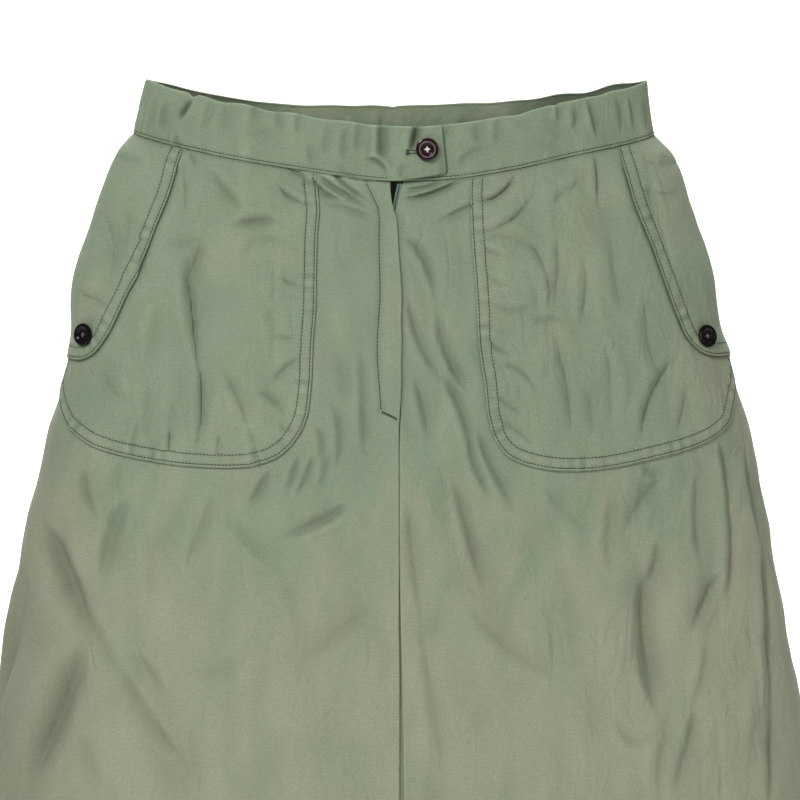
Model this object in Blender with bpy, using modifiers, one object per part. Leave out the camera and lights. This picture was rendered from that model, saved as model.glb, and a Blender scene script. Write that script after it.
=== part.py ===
"""Cargo utility skirt: A-line, buttoned waistband with a lapped tab, lapped zip fly, two curved
patch pockets, each with a buttoned hip flap over its mouth, and a centre front pleat.

The skirt is filled out and empty, open at the waist and at the hem. Sizes are in millimetres and
are turned into metres as each point is placed. +X is the wearer's left, the front faces -Y, +Z is
up, and the origin is the centre of the waistband ring.

Every piece of cloth is placed by two garment measures: the angle round the body, from 0 at the
centre front through 90 at the wearer's left side to 180 at the centre back, and the level, which
is the height that a point has at the side seam.
"""

import math

import bmesh
import bpy
import numpy as np
from mathutils import Vector
from mathutils.bvhtree import BVHTree

for old in list(bpy.data.objects):
    bpy.data.objects.remove(old, do_unlink=True)
parts = bpy.data.collections.new("Cargo utility skirt")
cutters = bpy.data.collections.new("Cutters")
for collection in (parts, cutters):
    bpy.context.scene.collection.children.link(collection)

MM = 0.001

# Driving sizes.
BAND_HEIGHT = 36.0
WAIST_SEAM = -17.4
BAND_TOP = WAIST_SEAM + BAND_HEIGHT
HEM = -683.0
SIDE_SEAM = 91.0
SEAM_GAP = 0.3
LAYER_GAP = 0.4

# Walls of the cloth.
PANEL_WALL = 1.1
PATCH_WALL = 1.0
BAND_WALL = 2.0
BAND_OUT = 1.2
POCKET_OUT = LAYER_GAP + PATCH_WALL
FLAP_OUT = POCKET_OUT + LAYER_GAP + PATCH_WALL

# The skirt's sections, a row for each level. Depths run from the middle to the front and back.
SKIRT_SECTIONS = (
    # level, centre_x, half_width, front_depth, back_depth
    (WAIST_SEAM, -1.8, 173.8, 38.0, 39.0),
    (-24.0, -2.2, 178.2, 41.0, 42.0),
    (-35.0, -1.8, 185.2, 45.0, 47.0),
    (-62.0, -2.2, 195.4, 52.0, 55.0),
    (-89.0, -1.8, 204.1, 58.0, 62.0),
    (-116.0, -2.0, 212.0, 63.5, 68.0),
    (-132.0, -2.0, 214.2, 66.5, 71.0),
    (-150.0, -0.8, 215.0, 69.5, 74.0),
    (-165.0, 0.8, 219.0, 71.5, 76.0),
    (-180.0, 1.4, 223.5, 73.5, 77.5),
    (-200.0, 1.8, 229.5, 75.0, 79.0),
    (-215.0, 1.5, 234.5, 76.0, 80.0),
    (-234.0, 1.2, 239.0, 77.0, 80.5),
    (-263.0, 0.6, 245.6, 78.0, 81.0),
    (-317.0, 0.0, 256.0, 79.0, 82.0),
    (-384.0, 0.3, 267.5, 80.0, 83.0),
    (-520.0, 0.0, 286.0, 82.0, 85.0),
    (HEM, 0.0, 303.0, 85.0, 88.0),
)

BAND_SECTIONS = (
    # level, centre_x, half_width, front_depth, back_depth
    (WAIST_SEAM - 10.0, -1.8, 175.4, 38.4, 39.4),
    (WAIST_SEAM, -1.8, 173.8, 38.0, 39.0),
    (BAND_TOP, -0.6, 167.4, 37.0, 38.0),
)

# How far the waist seam hangs below its height at the sides, round the body.
WAIST_DROP = (
    # angle, drop
    (-180.0, 17.6),
    (-151.0, 16.0),
    (-130.0, 9.0),
    (-112.0, 2.5),
    (-90.0, 0.0),
    (-61.0, 7.0),
    (-50.0, 11.5),
    (-39.0, 16.5),
    (-18.0, 25.5),
    (0.0, 31.8),
    (12.0, 30.5),
    (27.0, 24.0),
    (43.0, 15.0),
    (61.0, 8.0),
    (90.0, 0.8),
    (112.0, 2.5),
    (133.0, 8.5),
    (151.0, 14.0),
    (180.0, 17.6),
)
DROP_ENDS = -320.0


def through(table, column, at):
    """Reads a column of a table at any value of its first column, on a smooth curve through
    the rows."""
    rows = np.array(sorted(table))
    known, value = rows[:, 0], rows[:, column]
    slope = np.gradient(value, known)
    at = np.clip(at, known[0], known[-1])
    row = np.clip(np.searchsorted(known, at) - 1, 0, len(known) - 2)
    span = known[row + 1] - known[row]
    t = (at - known[row]) / span
    return (
        (2 * t**3 - 3 * t**2 + 1) * value[row]
        + (t**3 - 2 * t**2 + t) * span * slope[row]
        + (3 * t**2 - 2 * t**3) * value[row + 1]
        + (t**3 - t**2) * span * slope[row + 1]
    )


def ease(t):
    """A soft step from 0 to 1."""
    t = np.clip(t, 0.0, 1.0)
    return t * t * (3 - 2 * t)


def half_depth(sections, angle, level):
    """The section's depth on the side of the body that the angle lies on."""
    front = through(sections, 3, level)
    back = through(sections, 4, level)
    return np.where(np.cos(np.radians(angle)) >= 0, front, back)


def height(angle, level):
    """The level lowered by the dip of the waist seam, which fades out below the hips."""
    around = (np.asarray(angle, dtype=float) + 180.0) % 360.0 - 180.0
    fading = 1 - ease((level - WAIST_SEAM) / (DROP_ENDS - WAIST_SEAM))
    return level - through(WAIST_DROP, 1, around) * fading


def girth(angle, level, sections=SKIRT_SECTIONS):
    """The distance round the skirt from the centre front, as a tape measure reads it."""
    steps = (np.arange(32) + 0.5) / 32
    turn = np.asarray(angle, dtype=float)[..., None] * steps
    deep = np.asarray(level, dtype=float)[..., None] + 0 * turn
    wide = through(sections, 2, deep) * np.cos(np.radians(turn))
    rise = half_depth(sections, turn, deep) * np.sin(np.radians(turn))
    return np.hypot(wide, rise).mean(axis=-1) * np.radians(angle)


def angle_at(distance, level, sections=SKIRT_SECTIONS):
    """The angle that lies at a distance round the skirt from the centre front."""
    distance = np.asarray(distance, dtype=float)
    level = np.asarray(level, dtype=float) + 0 * distance
    angle = np.degrees(distance / through(sections, 2, level))
    for _ in range(12):
        here = girth(angle, level, sections)
        speed = (girth(angle + 0.5, level, sections) - here) / 0.5
        angle = angle + np.clip((distance - here) / speed, -12.0, 12.0)
    return angle


# Folds: soft troughs in the cloth, each along a curve through three points. Girth is measured
# from the centre front, positive towards the wearer's left, and height from the origin. The
# ridge stands on the side that the fold's path has on its right.
FOLDS = (
    # girth_1, height_1, girth_2, height_2, girth_3, height_3, half_width, depth, ridge
    # wearer's right front, below the pocket
    (-240, -272, -226, -311, -200, -358, 13, 6.0, 2.5),
    (-217, -357, -236, -401, -262, -470, 13, 5.5, 2.5),
    (-190, -354, -158, -414, -128, -480, 20, 3.5, 1.0),
    (-12, -316, -42, -348, -88, -386, 17, 3.0, 1.0),
    (-184, -255, -194, -289, -199, -325, 13, 3.0, 1.0),
    # wearer's left front, below the pocket
    (180, -290, 165, -342, 171, -404, 13, 5.5, 2.5),
    (40, -255, 62, -317, 106, -366, 16, 3.0, 1.0),
    (224, -305, 212, -329, 203, -352, 13, 3.0, 1.0),
    (183, -238, 166, -260, 146, -279, 13, 2.5, 0.5),
    (264, -370, 257, -410, 250, -450, 14, 3.0, 1.0),
    # under the waistband and on the pockets
    (-128, -66, -139, -131, -131, -206, 13, 3.0, 1.0),
    (-122, -34, -104, -65, -78, -84, 12, 2.0, 0.5),
    (138, -32, 139, -62, 137, -95, 12, 2.5, 1.0),
    (12, -90, 26, -147, 37, -212, 12, 2.0, 0.5),
    (-206, -72, -198, -93, -190, -112, 14, 2.0, 0.5),
    # front flutes that run down to the hem
    (-262, -440, -268, -570, -272, -760, 17, 8.0, 3.0),
    (-128, -455, -112, -590, -104, -760, 22, 9.0, 3.5),
    (36, -430, 44, -570, 50, -760, 20, 7.5, 3.0),
    (176, -445, 182, -580, 190, -760, 20, 8.5, 3.5),
    (262, -450, 272, -580, 280, -760, 16, 6.5, 2.5),
    (-36, -500, -40, -610, -42, -760, 18, 5.0, 2.0),
    (112, -520, 118, -620, 122, -760, 18, 5.5, 2.0),
    # back, under the waistband and over the seat
    (-352, -60, -366, -120, -372, -205, 15, 3.0, 1.0),
    (402, -52, 392, -118, 396, -200, 15, 3.0, 1.0),
    (-300, -196, -330, -244, -366, -282, 15, 3.5, 1.0),
    (310, -205, 342, -250, 380, -280, 15, 3.5, 1.0),
    (452, -150, 448, -215, 456, -290, 14, 2.5, 1.0),
    # back flutes that run down to the hem
    (-336, -300, -344, -480, -352, -760, 20, 8.5, 3.5),
    (-420, -360, -436, -540, -444, -760, 20, 8.0, 3.0),
    (-505, -330, -522, -520, -530, -760, 22, 9.0, 3.5),
    (-596, -380, -606, -560, -612, -760, 18, 6.5, 2.5),
    (330, -330, 344, -500, 352, -760, 20, 8.5, 3.5),
    (424, -320, 436, -520, 446, -760, 20, 7.5, 3.0),
    (512, -390, 526, -560, 536, -760, 20, 8.5, 3.5),
)
FOLD_STEPS = 12
FOLD_ENDS = 0.32


def round_the_body(angle, level):
    """The girth with the sign of the side that it is nearer to, so that both sides of the
    centre back are reached."""
    around = (np.asarray(angle, dtype=float) + 180.0) % 360.0 - 180.0
    return girth(around, level)


def fold_relief(distance, high, folds):
    """How far the folds move the cloth out, and in where it is negative."""
    relief = np.zeros_like(distance)
    for u1, z1, u2, z2, u3, z3, half_width, depth, ridge in folds:
        t = np.linspace(0.0, 1.0, FOLD_STEPS + 1)
        bow = (2 * u2 - (u1 + u3) / 2, 2 * z2 - (z1 + z3) / 2)
        path_u = (1 - t) ** 2 * u1 + 2 * t * (1 - t) * bow[0] + t * t * u3
        path_z = (1 - t) ** 2 * z1 + 2 * t * (1 - t) * bow[1] + t * t * z3
        nearest = np.full_like(distance, 1e9)
        side = np.zeros_like(distance)
        along = np.zeros_like(distance)
        for step in range(FOLD_STEPS):
            du = path_u[step + 1] - path_u[step]
            dz = path_z[step + 1] - path_z[step]
            length = math.hypot(du, dz)
            from_u, from_z = distance - path_u[step], high - path_z[step]
            part = np.clip((from_u * du + from_z * dz) / length**2, 0.0, 1.0)
            away = np.hypot(from_u - part * du, from_z - part * dz)
            closer = away < nearest
            nearest = np.where(closer, away, nearest)
            side = np.where(closer, (from_u * dz - from_z * du) / length, side)
            along = np.where(closer, (step + part) / FOLD_STEPS, along)
        fading = ease(np.minimum(along, 1 - along) / FOLD_ENDS)
        trough = np.exp(-((nearest / half_width) ** 2))
        crest = np.exp(-(((side - 1.5 * half_width) / half_width) ** 2))
        crest = crest * np.exp(-((nearest / (2.6 * half_width)) ** 4))
        relief += fading * (ridge * crest - depth * trough)
    return relief


def section_point(angle, level, sections):
    """A point of the smooth section, and the direction straight out of it."""
    turn = np.radians(angle)
    wide = through(sections, 2, level)
    deep = half_depth(sections, angle, level)
    x = through(sections, 1, level) + wide * np.sin(turn)
    y = -deep * np.cos(turn)
    out = np.stack([deep * np.sin(turn), -wide * np.cos(turn), 0 * x], axis=-1)
    out /= np.linalg.norm(out, axis=-1, keepdims=True)
    return np.stack([x, y, height(angle, level)], axis=-1), out


def folded_point(angle, level):
    """A point of the skirt's outer face, with its folds."""
    point, out = section_point(angle, level, SKIRT_SECTIONS)
    relief = fold_relief(round_the_body(angle, level), point[..., 2], FOLDS)
    return point + out * relief[..., None]


def skirt_point(angle, level, out=0.0):
    """A point of the skirt, moved out along the cloth's own normal."""
    angle, level, out = np.broadcast_arrays(angle * 1.0, level * 1.0, out * 1.0)
    point = folded_point(angle, level)
    if not np.any(out):
        return point
    across = folded_point(angle + 0.5, level) - folded_point(angle - 0.5, level)
    up = folded_point(angle, level + 1.0) - folded_point(angle, level - 1.0)
    normal = np.cross(across, up)
    normal /= np.linalg.norm(normal, axis=-1, keepdims=True)
    return point + normal * out[..., None]


def spot(distance, high):
    """The angle and level of a place given by its distance round and its height."""
    distance, high = np.broadcast_arrays(distance * 1.0, high * 1.0)
    level = high
    for _ in range(8):
        angle = angle_at(distance, level)
        level = level + high - height(angle, level)
    return angle, level


def finish_of(name, colour, roughness, metallic=0.0):
    """A material with the piece's colour and gloss."""
    material = bpy.data.materials.new(name)
    material.use_nodes = True
    shader = material.node_tree.nodes["Principled BSDF"]
    shader.inputs["Base Color"].default_value = (*colour, 1.0)
    shader.inputs["Roughness"].default_value = roughness
    shader.inputs["Metallic"].default_value = metallic
    return material


POPLIN = ((0.235, 0.275, 0.195), 0.78)
TAPE_GREEN = ((0.12, 0.27, 0.22), 0.8)
ZIP_METAL = ((0.72, 0.71, 0.68), 0.32, 1.0)
BUTTON_HORN = ((0.035, 0.018, 0.022), 0.3)


def add_object(name, mesh, finish):
    """Puts a bmesh into the scene as a named piece."""
    data = bpy.data.meshes.new(name)
    mesh.to_mesh(data)
    mesh.free()
    data.shade_smooth()
    data.materials.append(finish_of(name, *finish))
    piece = bpy.data.objects.new(name, data)
    parts.objects.link(piece)
    return piece


def add_wall(piece, wall):
    """Gives a sheet its thickness, inwards from its outer face."""
    solid = piece.modifiers.new("Wall", "SOLIDIFY")
    solid.thickness = wall * MM
    solid.offset = -1.0


def cloth(name, across, down, place, wall, finish=POPLIN):
    """A piece of cloth: a grid whose points are set by place(s, t), with s from 0 to 1 towards
    the wearer's left and t from 0 to 1 upwards."""
    mesh = bmesh.new()
    bmesh.ops.create_grid(mesh, x_segments=across, y_segments=down, size=0.5)
    flat = np.array([vert.co for vert in mesh.verts]) + 0.5
    for vert, point in zip(mesh.verts, place(flat[:, 0], flat[:, 1])):
        vert.co = point * MM
    piece = add_object(name, mesh, finish)
    add_wall(piece, wall)
    return piece


# Front panels. The wearer's right front laps over the left one as far as the zip goes.
# Below it their edges meet at the centre seam, and below the seam's end they part.
LAP_RISE = 1.5
LAP_FLAT = 7.0
LAP_WIDTH = 13.0
LAP_STARTS = -240.0
LAP_FADE = 28.0
FLY_END = -200.0
SEAM_END = -300.0
PLEAT_DEPTH = 38.0
RIGHT_EDGE = (
    # height, girth of the edge
    (HEM, 1.0),
    (-460.0, 1.5),
    (SEAM_END, 1.5),
    (-250.0, 0.4),
    (-212.0, -0.6),
    (FLY_END, 0.4),
    (-178.0, 2.6),
    (-155.0, 5.3),
    (-127.0, 5.3),
    (-88.0, 3.1),
    (-75.0, 1.8),
    (-64.0, -1.4),
    (-49.0, -2.6),
)
LEFT_EDGE = (
    # height, girth of the edge
    (HEM, 6.5),
    (-460.0, 4.6),
    (SEAM_END, 1.8),
    (-250.0, 0.7),
    (-212.0, -0.3),
    (FLY_END, 0.7),
    (-178.0, -2.6),
    (-90.0, -2.6),
    (-76.0, -1.6),
    (-64.0, 2.4),
    (-49.0, 6.4),
)
TOP_LEVEL = WAIST_SEAM - SEAM_GAP
FRONT_ROWS = 28
ROW_CROWDING = 1.25
EDGE_STEPS = (0.0, LAP_FLAT, LAP_WIDTH + 1.0, 26.0, PLEAT_DEPTH)
FRONT_COLUMNS = 20
BACK_COLUMNS = 30
BACK_ROWS = 26
SEAM_STRIP = 2.5
EVEN_SHARE = 0.7


def panel_level(t):
    """Levels from the hem to the waist seam, closer together near the waist."""
    return HEM + (TOP_LEVEL - HEM) * (1 - (1 - t) ** ROW_CROWDING)


def edge_girth(edge, high):
    """The girth of a front edge at a height."""
    rows = np.array(edge)
    return np.interp(high, rows[:, 0], rows[:, 1])


def edge_angle(edge, level, inside):
    """The angle of a line that runs inside a front edge at a level."""
    angle = 0 * level
    for _ in range(3):
        angle = angle_at(edge_girth(edge, height(angle, level)) + inside, level)
    return angle


def side_angle(distance, level):
    """The angle of a short distance round the side seam."""
    return np.degrees(distance / half_depth(SKIRT_SECTIONS, 90.0 + 0 * level, level))


def spread(first, last, share, level):
    """Angles from a first to a last one, spaced partly by the girth and partly by the angle,
    so that the flat front and the round sides both get their columns."""
    from_first, to_last = girth(first, level), girth(last, level)
    by_girth = angle_at(from_first + (to_last - from_first) * share, level)
    by_angle = first + (last - first) * share
    return EVEN_SHARE * by_girth + (1 - EVEN_SHARE) * by_angle


def front_angle(side, edge, column, level):
    """The angle of a front's column, counted from the centre. A narrow strip runs along the
    side seam, so that the walls of both panels meet there square."""
    inside = side * np.interp(column, np.arange(len(EDGE_STEPS)), EDGE_STEPS)
    near = edge_angle(edge, level, inside)
    fold = edge_angle(edge, level, side * PLEAT_DEPTH)
    seam = side * (SIDE_SEAM - side_angle(SEAM_GAP / 2, level))
    strip = seam - side * side_angle(SEAM_STRIP, level)
    near_columns = len(EDGE_STEPS) - 1
    share = (column - near_columns) / (FRONT_COLUMNS - 1 - near_columns)
    middle = spread(fold, strip, np.clip(share, 0.0, 1.0), level)
    return np.where(
        column <= near_columns, near, np.where(column > FRONT_COLUMNS - 0.5, seam, middle)
    )


def lap(distance, high):
    """How far the fly of the wearer's right front stands out over the left front."""
    inside = edge_girth(RIGHT_EDGE, high) - distance
    near = ease((LAP_WIDTH - inside) / (LAP_WIDTH - LAP_FLAT))
    return LAP_RISE * near * ease((high - LAP_STARTS) / LAP_FADE)


def right_column(column, level, out=0.0):
    """A point of the wearer's right front, on a column counted from the centre."""
    angle = front_angle(-1, RIGHT_EDGE, column, level)
    rise = lap(girth(angle, level), height(angle, level))
    return skirt_point(angle, level, rise + out)


def left_column(column, level, out=0.0):
    """A point of the wearer's left front, on a column counted from the centre."""
    return skirt_point(front_angle(1, LEFT_EDGE, column, level), level, out)


def front_right_place(s, t):
    return right_column(np.rint((1 - s) * FRONT_COLUMNS), panel_level(t))


def front_left_place(s, t):
    return left_column(np.rint(s * FRONT_COLUMNS), panel_level(t))


def back_place(s, t):
    level = panel_level(t)
    column = np.rint(s * BACK_COLUMNS)
    seam = SIDE_SEAM + side_angle(SEAM_GAP / 2, level)
    strip = seam + side_angle(SEAM_STRIP, level)
    half = BACK_COLUMNS / 2
    from_side = half - np.abs(column - half)
    share = np.clip((from_side - 1) / (half - 1), 0.0, 1.0)
    turned = 180.0 - spread(0 * level, 180.0 - strip, 1 - share, level)
    near = np.where(from_side < 0.5, seam, turned)
    return skirt_point(np.where(column <= half, near, 360.0 - near), level)


front_right = cloth("front_right", FRONT_COLUMNS, FRONT_ROWS, front_right_place, PANEL_WALL)
front_left = cloth("front_left", FRONT_COLUMNS, FRONT_ROWS, front_left_place, PANEL_WALL)
cloth("back", BACK_COLUMNS, BACK_ROWS, back_place, PANEL_WALL)


# Waistband: one strip. It starts under the tab, runs round the back, and ends as the tab.
UNDERLAP_ANGLE = -4.0
TAB_ANGLE = 360.0 + 11.4
TAB_RISE = BAND_WALL + LAYER_GAP
TAB_LIFTS = (330.0, 352.0)
TAB_TIP_RISE = 3.0
BAND_COLUMNS = 92


def band_place(s, t):
    angle = UNDERLAP_ANGLE + (TAB_ANGLE - UNDERLAP_ANGLE) * s
    bottom = WAIST_SEAM + SEAM_GAP / 2 + TAB_TIP_RISE * ease((angle - 358.0) / 13.0)
    level = bottom + (BAND_TOP - bottom) * t
    around = (angle + 180.0) % 360.0 - 180.0
    point, out = section_point(around, level, BAND_SECTIONS)
    lift = BAND_OUT + TAB_RISE * ease((angle - TAB_LIFTS[0]) / (TAB_LIFTS[1] - TAB_LIFTS[0]))
    return point + out * lift[..., None]


cloth("waistband", BAND_COLUMNS, 2, band_place, BAND_WALL)


# Patch pockets and hip flaps. Each is a copy of its front, moved out, and cut to its outline.
# An outline runs from the waist seam at the front edge, down and round to the side seam.
POCKET_RIGHT = (
    # girth, height
    (-51.8, -42.0),
    (-49.4, -68.0),
    (-51.0, -105.0),
    (-52.0, -143.0),
    (-57.0, -181.0),
    (-61.5, -206.0),
    (-73.0, -225.0),
    (-90.0, -234.8),
    (-117.0, -238.0),
    (-160.0, -235.0),
    (-200.0, -227.6),
    (-227.0, -215.4),
    (-238.0, -204.0),
    (-247.0, -186.0),
)
POCKET_LEFT = (
    # girth, height
    (50.6, -45.0),
    (49.8, -63.0),
    (52.0, -98.0),
    (54.5, -135.0),
    (56.0, -173.0),
    (58.0, -205.0),
    (65.7, -224.0),
    (79.0, -234.0),
    (104.0, -239.6),
    (136.0, -239.0),
    (168.0, -233.2),
    (202.0, -225.0),
    (226.0, -212.8),
    (235.5, -198.0),
    (242.0, -176.0),
)
FLAP_RIGHT = (
    # girth, height
    (-141.4, -27.5),
    (-144.4, -42.0),
    (-151.3, -66.6),
    (-168.0, -106.0),
    (-185.5, -140.0),
    (-196.0, -155.0),
    (-208.0, -165.4),
    (-221.0, -169.0),
    (-236.0, -168.0),
)
FLAP_LEFT = (
    # girth, height
    (150.6, -26.5),
    (153.6, -42.0),
    (159.0, -62.0),
    (175.0, -103.0),
    (190.5, -140.0),
    (198.0, -154.0),
    (207.0, -163.2),
    (219.0, -166.6),
    (234.0, -166.6),
)
MOUTH_RIGHT = (
    # girth without its sign, height
    (163.0, -20.0),
    (200.0, -100.0),
    (230.0, -150.0),
)
MOUTH_LEFT = (
    # girth without its sign, height
    (171.0, -20.0),
    (200.0, -100.0),
    (230.0, -150.0),
)
BEYOND = 320.0
TOP_TRIM = 0.9


def smooth_outline(points, steps=4):
    """Points on a smooth curve through an outline's own points."""
    points = np.array(points)
    slope = np.gradient(points, axis=0)
    curve = []
    for row in range(len(points) - 1):
        for t in np.arange(steps) / steps:
            curve.append(
                (2 * t**3 - 3 * t**2 + 1) * points[row]
                + (t**3 - 2 * t**2 + t) * slope[row]
                + (3 * t**2 - 2 * t**3) * points[row + 1]
                + (t**3 - t**2) * slope[row + 1]
            )
    curve.append(points[-1])
    return np.array(curve)


def seen_from_front(distance, high, out):
    """The x and z of a place on the skirt, as the cutters need them."""
    angle, level = spot(distance, high)
    return skirt_point(angle, level, out)[..., [0, 2]]


def waist_line(first, last, out):
    """The waist seam from one girth to another, just below the waistband."""
    angle = angle_at(np.linspace(first, last, 12), TOP_LEVEL)
    point = skirt_point(angle, TOP_LEVEL, out)
    return point[:, [0, 2]] - (0.0, TOP_TRIM)


def patch(name, front, outline, out, mouth=()):
    """A piece laid on a front: the front's own points moved out, cut to the outline. A mouth
    is a line from the waist seam to the side seam, above which the piece is cut away."""
    side = 1.0 if outline[0][0] > 0 else -1.0
    lower = seen_from_front(*smooth_outline(outline)[1:].T, out)
    if mouth:
        slanted = np.array([(side * distance, high) for distance, high in mouth])
        top = waist_line(outline[0][0], slanted[0][0], out)
        upper = np.vstack([top, seen_from_front(*slanted[1:].T, out)])
    else:
        upper = waist_line(outline[0][0], side * girth(np.array(90.0), TOP_LEVEL), out)
    far_side = [(side * BEYOND, lower[-1][1]), (side * BEYOND, upper[-1][1])]
    ring = np.vstack([lower, far_side, upper[::-1]])

    cutter = bmesh.new()
    verts = [cutter.verts.new((x * MM, -0.2, z * MM)) for x, z in ring]
    face = cutter.faces.new(verts)
    grown = bmesh.ops.extrude_face_region(cutter, geom=[face])
    moved = [item for item in grown["geom"] if isinstance(item, bmesh.types.BMVert)]
    bmesh.ops.translate(cutter, verts=moved, vec=(0.0, 0.3, 0.0))
    bmesh.ops.recalc_face_normals(cutter, faces=cutter.faces)
    data = bpy.data.meshes.new(name + "_cutter")
    cutter.to_mesh(data)
    cutter.free()
    block = bpy.data.objects.new(name + "_cutter", data)
    block.hide_render = True
    block.display_type = "WIRE"
    cutters.objects.link(block)

    mesh = bmesh.new()
    mesh.from_mesh(front.data)
    mesh.normal_update()
    for vert in mesh.verts:
        vert.co += vert.normal * out * MM
    piece = add_object(name, mesh, POPLIN)
    add_wall(piece, PATCH_WALL)
    cut = piece.modifiers.new("Outline", "BOOLEAN")
    cut.operation = "INTERSECT"
    cut.object = block
    return piece


patch("pocket_right", front_right, POCKET_RIGHT, POCKET_OUT, MOUTH_RIGHT)
patch("pocket_left", front_left, POCKET_LEFT, POCKET_OUT, MOUTH_LEFT)
patch("flap_right", front_right, FLAP_RIGHT, FLAP_OUT)
patch("flap_left", front_left, FLAP_LEFT, FLAP_OUT)


# Pleat insert: one strip. It runs behind each front from its edge to the pleat's depth, turns
# back there, and crosses the middle. It is made from the fronts' own points, moved in.
PLEAT_WALL = 1.0
PLEAT_CLEAR = 0.9
PLEAT_BEND = 0.3
PLEAT_ROWS = 15
PLEAT_OUTER = -(PANEL_WALL + PLEAT_CLEAR + PLEAT_WALL)
PLEAT_INNER = PLEAT_OUTER - 2 * PLEAT_BEND


def pleat_columns():
    """The strip's columns: the front that it lies behind (-1 right, 1 left), the column of
    that front, and the depth behind the front's outer face."""
    last = len(EDGE_STEPS) - 1
    columns = [(-1, column, PLEAT_OUTER) for column in range(last + 1)]
    columns.append((-1, last + 0.5, (PLEAT_OUTER + PLEAT_INNER) / 2))
    columns += [(-1, column, PLEAT_INNER) for column in range(last, -1, -1)]
    return columns + [(1, column, depth) for _, column, depth in reversed(columns)]


def pleat_place(s, t):
    columns = np.array(pleat_columns())
    side, column, depth = columns[np.rint(s * (len(columns) - 1)).astype(int)].T
    level = panel_level(np.rint(t * PLEAT_ROWS) / FRONT_ROWS)
    bend = np.where(column % 1.0 > 0, PLEAT_BEND, 0.0)
    whole = np.floor(column)
    right = right_column(whole, level, depth) - np.stack([bend, 0 * bend, 0 * bend], axis=-1)
    left = left_column(whole, level, depth) + np.stack([bend, 0 * bend, 0 * bend], axis=-1)
    return np.where(side[:, None] < 0, right, left)


cloth("pleat_insert", len(pleat_columns()) - 1, PLEAT_ROWS, pleat_place, PLEAT_WALL)


# Zip: two tapes behind the fly. Their toothed edges meet below the slider and part above it.
TAPE_WALL = 1.0
TAPE_DEPTH = -(PANEL_WALL + LAYER_GAP)
TAPE_TOP = TOP_LEVEL - 1.0
TAPE_BOTTOM = -182.0
TAPE_WIDTH = 13.0
TAPE_COLUMNS = 3
TAPE_ROWS = 10
TEETH_GIRTH = -2.2
TEETH_GAP = 0.6
TAPES_PART = -74.0
PARTING = 25.0


def tape(name, side, opening):
    """A zip tape. Above the slider its toothed edge moves away from the middle."""

    def place(s, t):
        level = TAPE_BOTTOM + (TAPE_TOP - TAPE_BOTTOM) * t
        parted = opening * ease((height(0 * level, level) - TAPES_PART) / PARTING)
        teeth = TEETH_GIRTH + side * (TEETH_GAP / 2 + parted)
        sewn = TEETH_GIRTH + side * TAPE_WIDTH
        first, last = (sewn, teeth) if side < 0 else (teeth, sewn)
        return skirt_point(angle_at(first + (last - first) * s, level), level, TAPE_DEPTH)

    cloth(name, TAPE_COLUMNS, TAPE_ROWS, place, TAPE_WALL, TAPE_GREEN)


tape("zip_tape_right", -1, 2.2)
tape("zip_tape_left", 1, 4.8)


def set_on_cloth(piece, point, normal):
    """Puts a piece's own origin on a point, with its own Z along the cloth's normal."""
    piece.location = Vector(point * MM)
    piece.rotation_mode = "QUATERNION"
    piece.rotation_quaternion = Vector(normal).to_track_quat("Z", "Y")


def on_skirt(distance, high, out):
    """A point at a height over the skirt, and the cloth's normal there."""
    angle, level = spot(distance, high)
    point = skirt_point(angle, level, out)
    normal = skirt_point(angle, level, out + 1.0) - point
    return point, normal / np.linalg.norm(normal)


def on_facet(front, distance, high, out):
    """The same on the flat facet of a front's own mesh, for a stiff piece that lies on it."""
    mesh = bmesh.new()
    mesh.from_mesh(front.data)
    near = Vector(skirt_point(*spot(distance, high)) * MM)
    point, normal, _, _ = BVHTree.FromBMesh(mesh).find_nearest(near)
    mesh.free()
    return np.array(point) / MM + np.array(normal) * out, np.array(normal)


# Zip slider: a flat wedge between the tapes and the lapped fly.
SLIDER_HEIGHT = 8.0
SLIDER_THICKNESS = 1.2
SLIDER_TOP_WIDTH = 6.0
SLIDER_FOOT_WIDTH = 4.0
SLIDER_SPOT = (-3.4, -70.0)
SLIDER_OUT = -0.5

slider_mesh = bmesh.new()
bmesh.ops.create_cube(slider_mesh, size=1.0)
for vert in slider_mesh.verts:
    width = SLIDER_TOP_WIDTH if vert.co.y > 0 else SLIDER_FOOT_WIDTH
    vert.co *= Vector((width, SLIDER_HEIGHT, SLIDER_THICKNESS)) * MM
slider = add_object("zip_slider", slider_mesh, ZIP_METAL)
slider_bevel = slider.modifiers.new("Edges", "BEVEL")
slider_bevel.width = 0.25 * MM
set_on_cloth(slider, *on_skirt(*SLIDER_SPOT, SLIDER_OUT))


# Buttons: turned discs with a raised rim and a dished middle.
BUTTON_PROFILE = (
    # radius, height
    (0.0, 1.9),
    (4.7, 1.9),
    (5.5, 2.8),
    (6.8, 2.8),
    (7.6, 2.0),
    (7.6, 1.0),
    (6.4, 0.0),
    (0.0, 0.0),
)
BUTTON_STEPS = 20
BUTTON_GAP = 0.3


def button(name, point, normal):
    """A turned button whose underside rests on the cloth at a point."""
    mesh = bmesh.new()
    ring = [mesh.verts.new((radius * MM, 0.0, high * MM)) for radius, high in BUTTON_PROFILE]
    for above, below in zip(ring, ring[1:]):
        mesh.edges.new((above, below))
    piece = add_object(name, mesh, BUTTON_HORN)
    turn = piece.modifiers.new("Turned", "SCREW")
    turn.steps = BUTTON_STEPS
    turn.render_steps = BUTTON_STEPS
    turn.use_merge_vertices = True
    turn.merge_threshold = 0.01 * MM
    set_on_cloth(piece, point, normal)


FLAP_BUTTON_OUT = FLAP_OUT + BUTTON_GAP
FLAP_BUTTON_RIGHT = (-214.5, -151.7)
FLAP_BUTTON_LEFT = (213.6, -153.2)
button("button_flap_right", *on_facet(front_right, *FLAP_BUTTON_RIGHT, FLAP_BUTTON_OUT))
button("button_flap_left", *on_facet(front_left, *FLAP_BUTTON_LEFT, FLAP_BUTTON_OUT))

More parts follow.
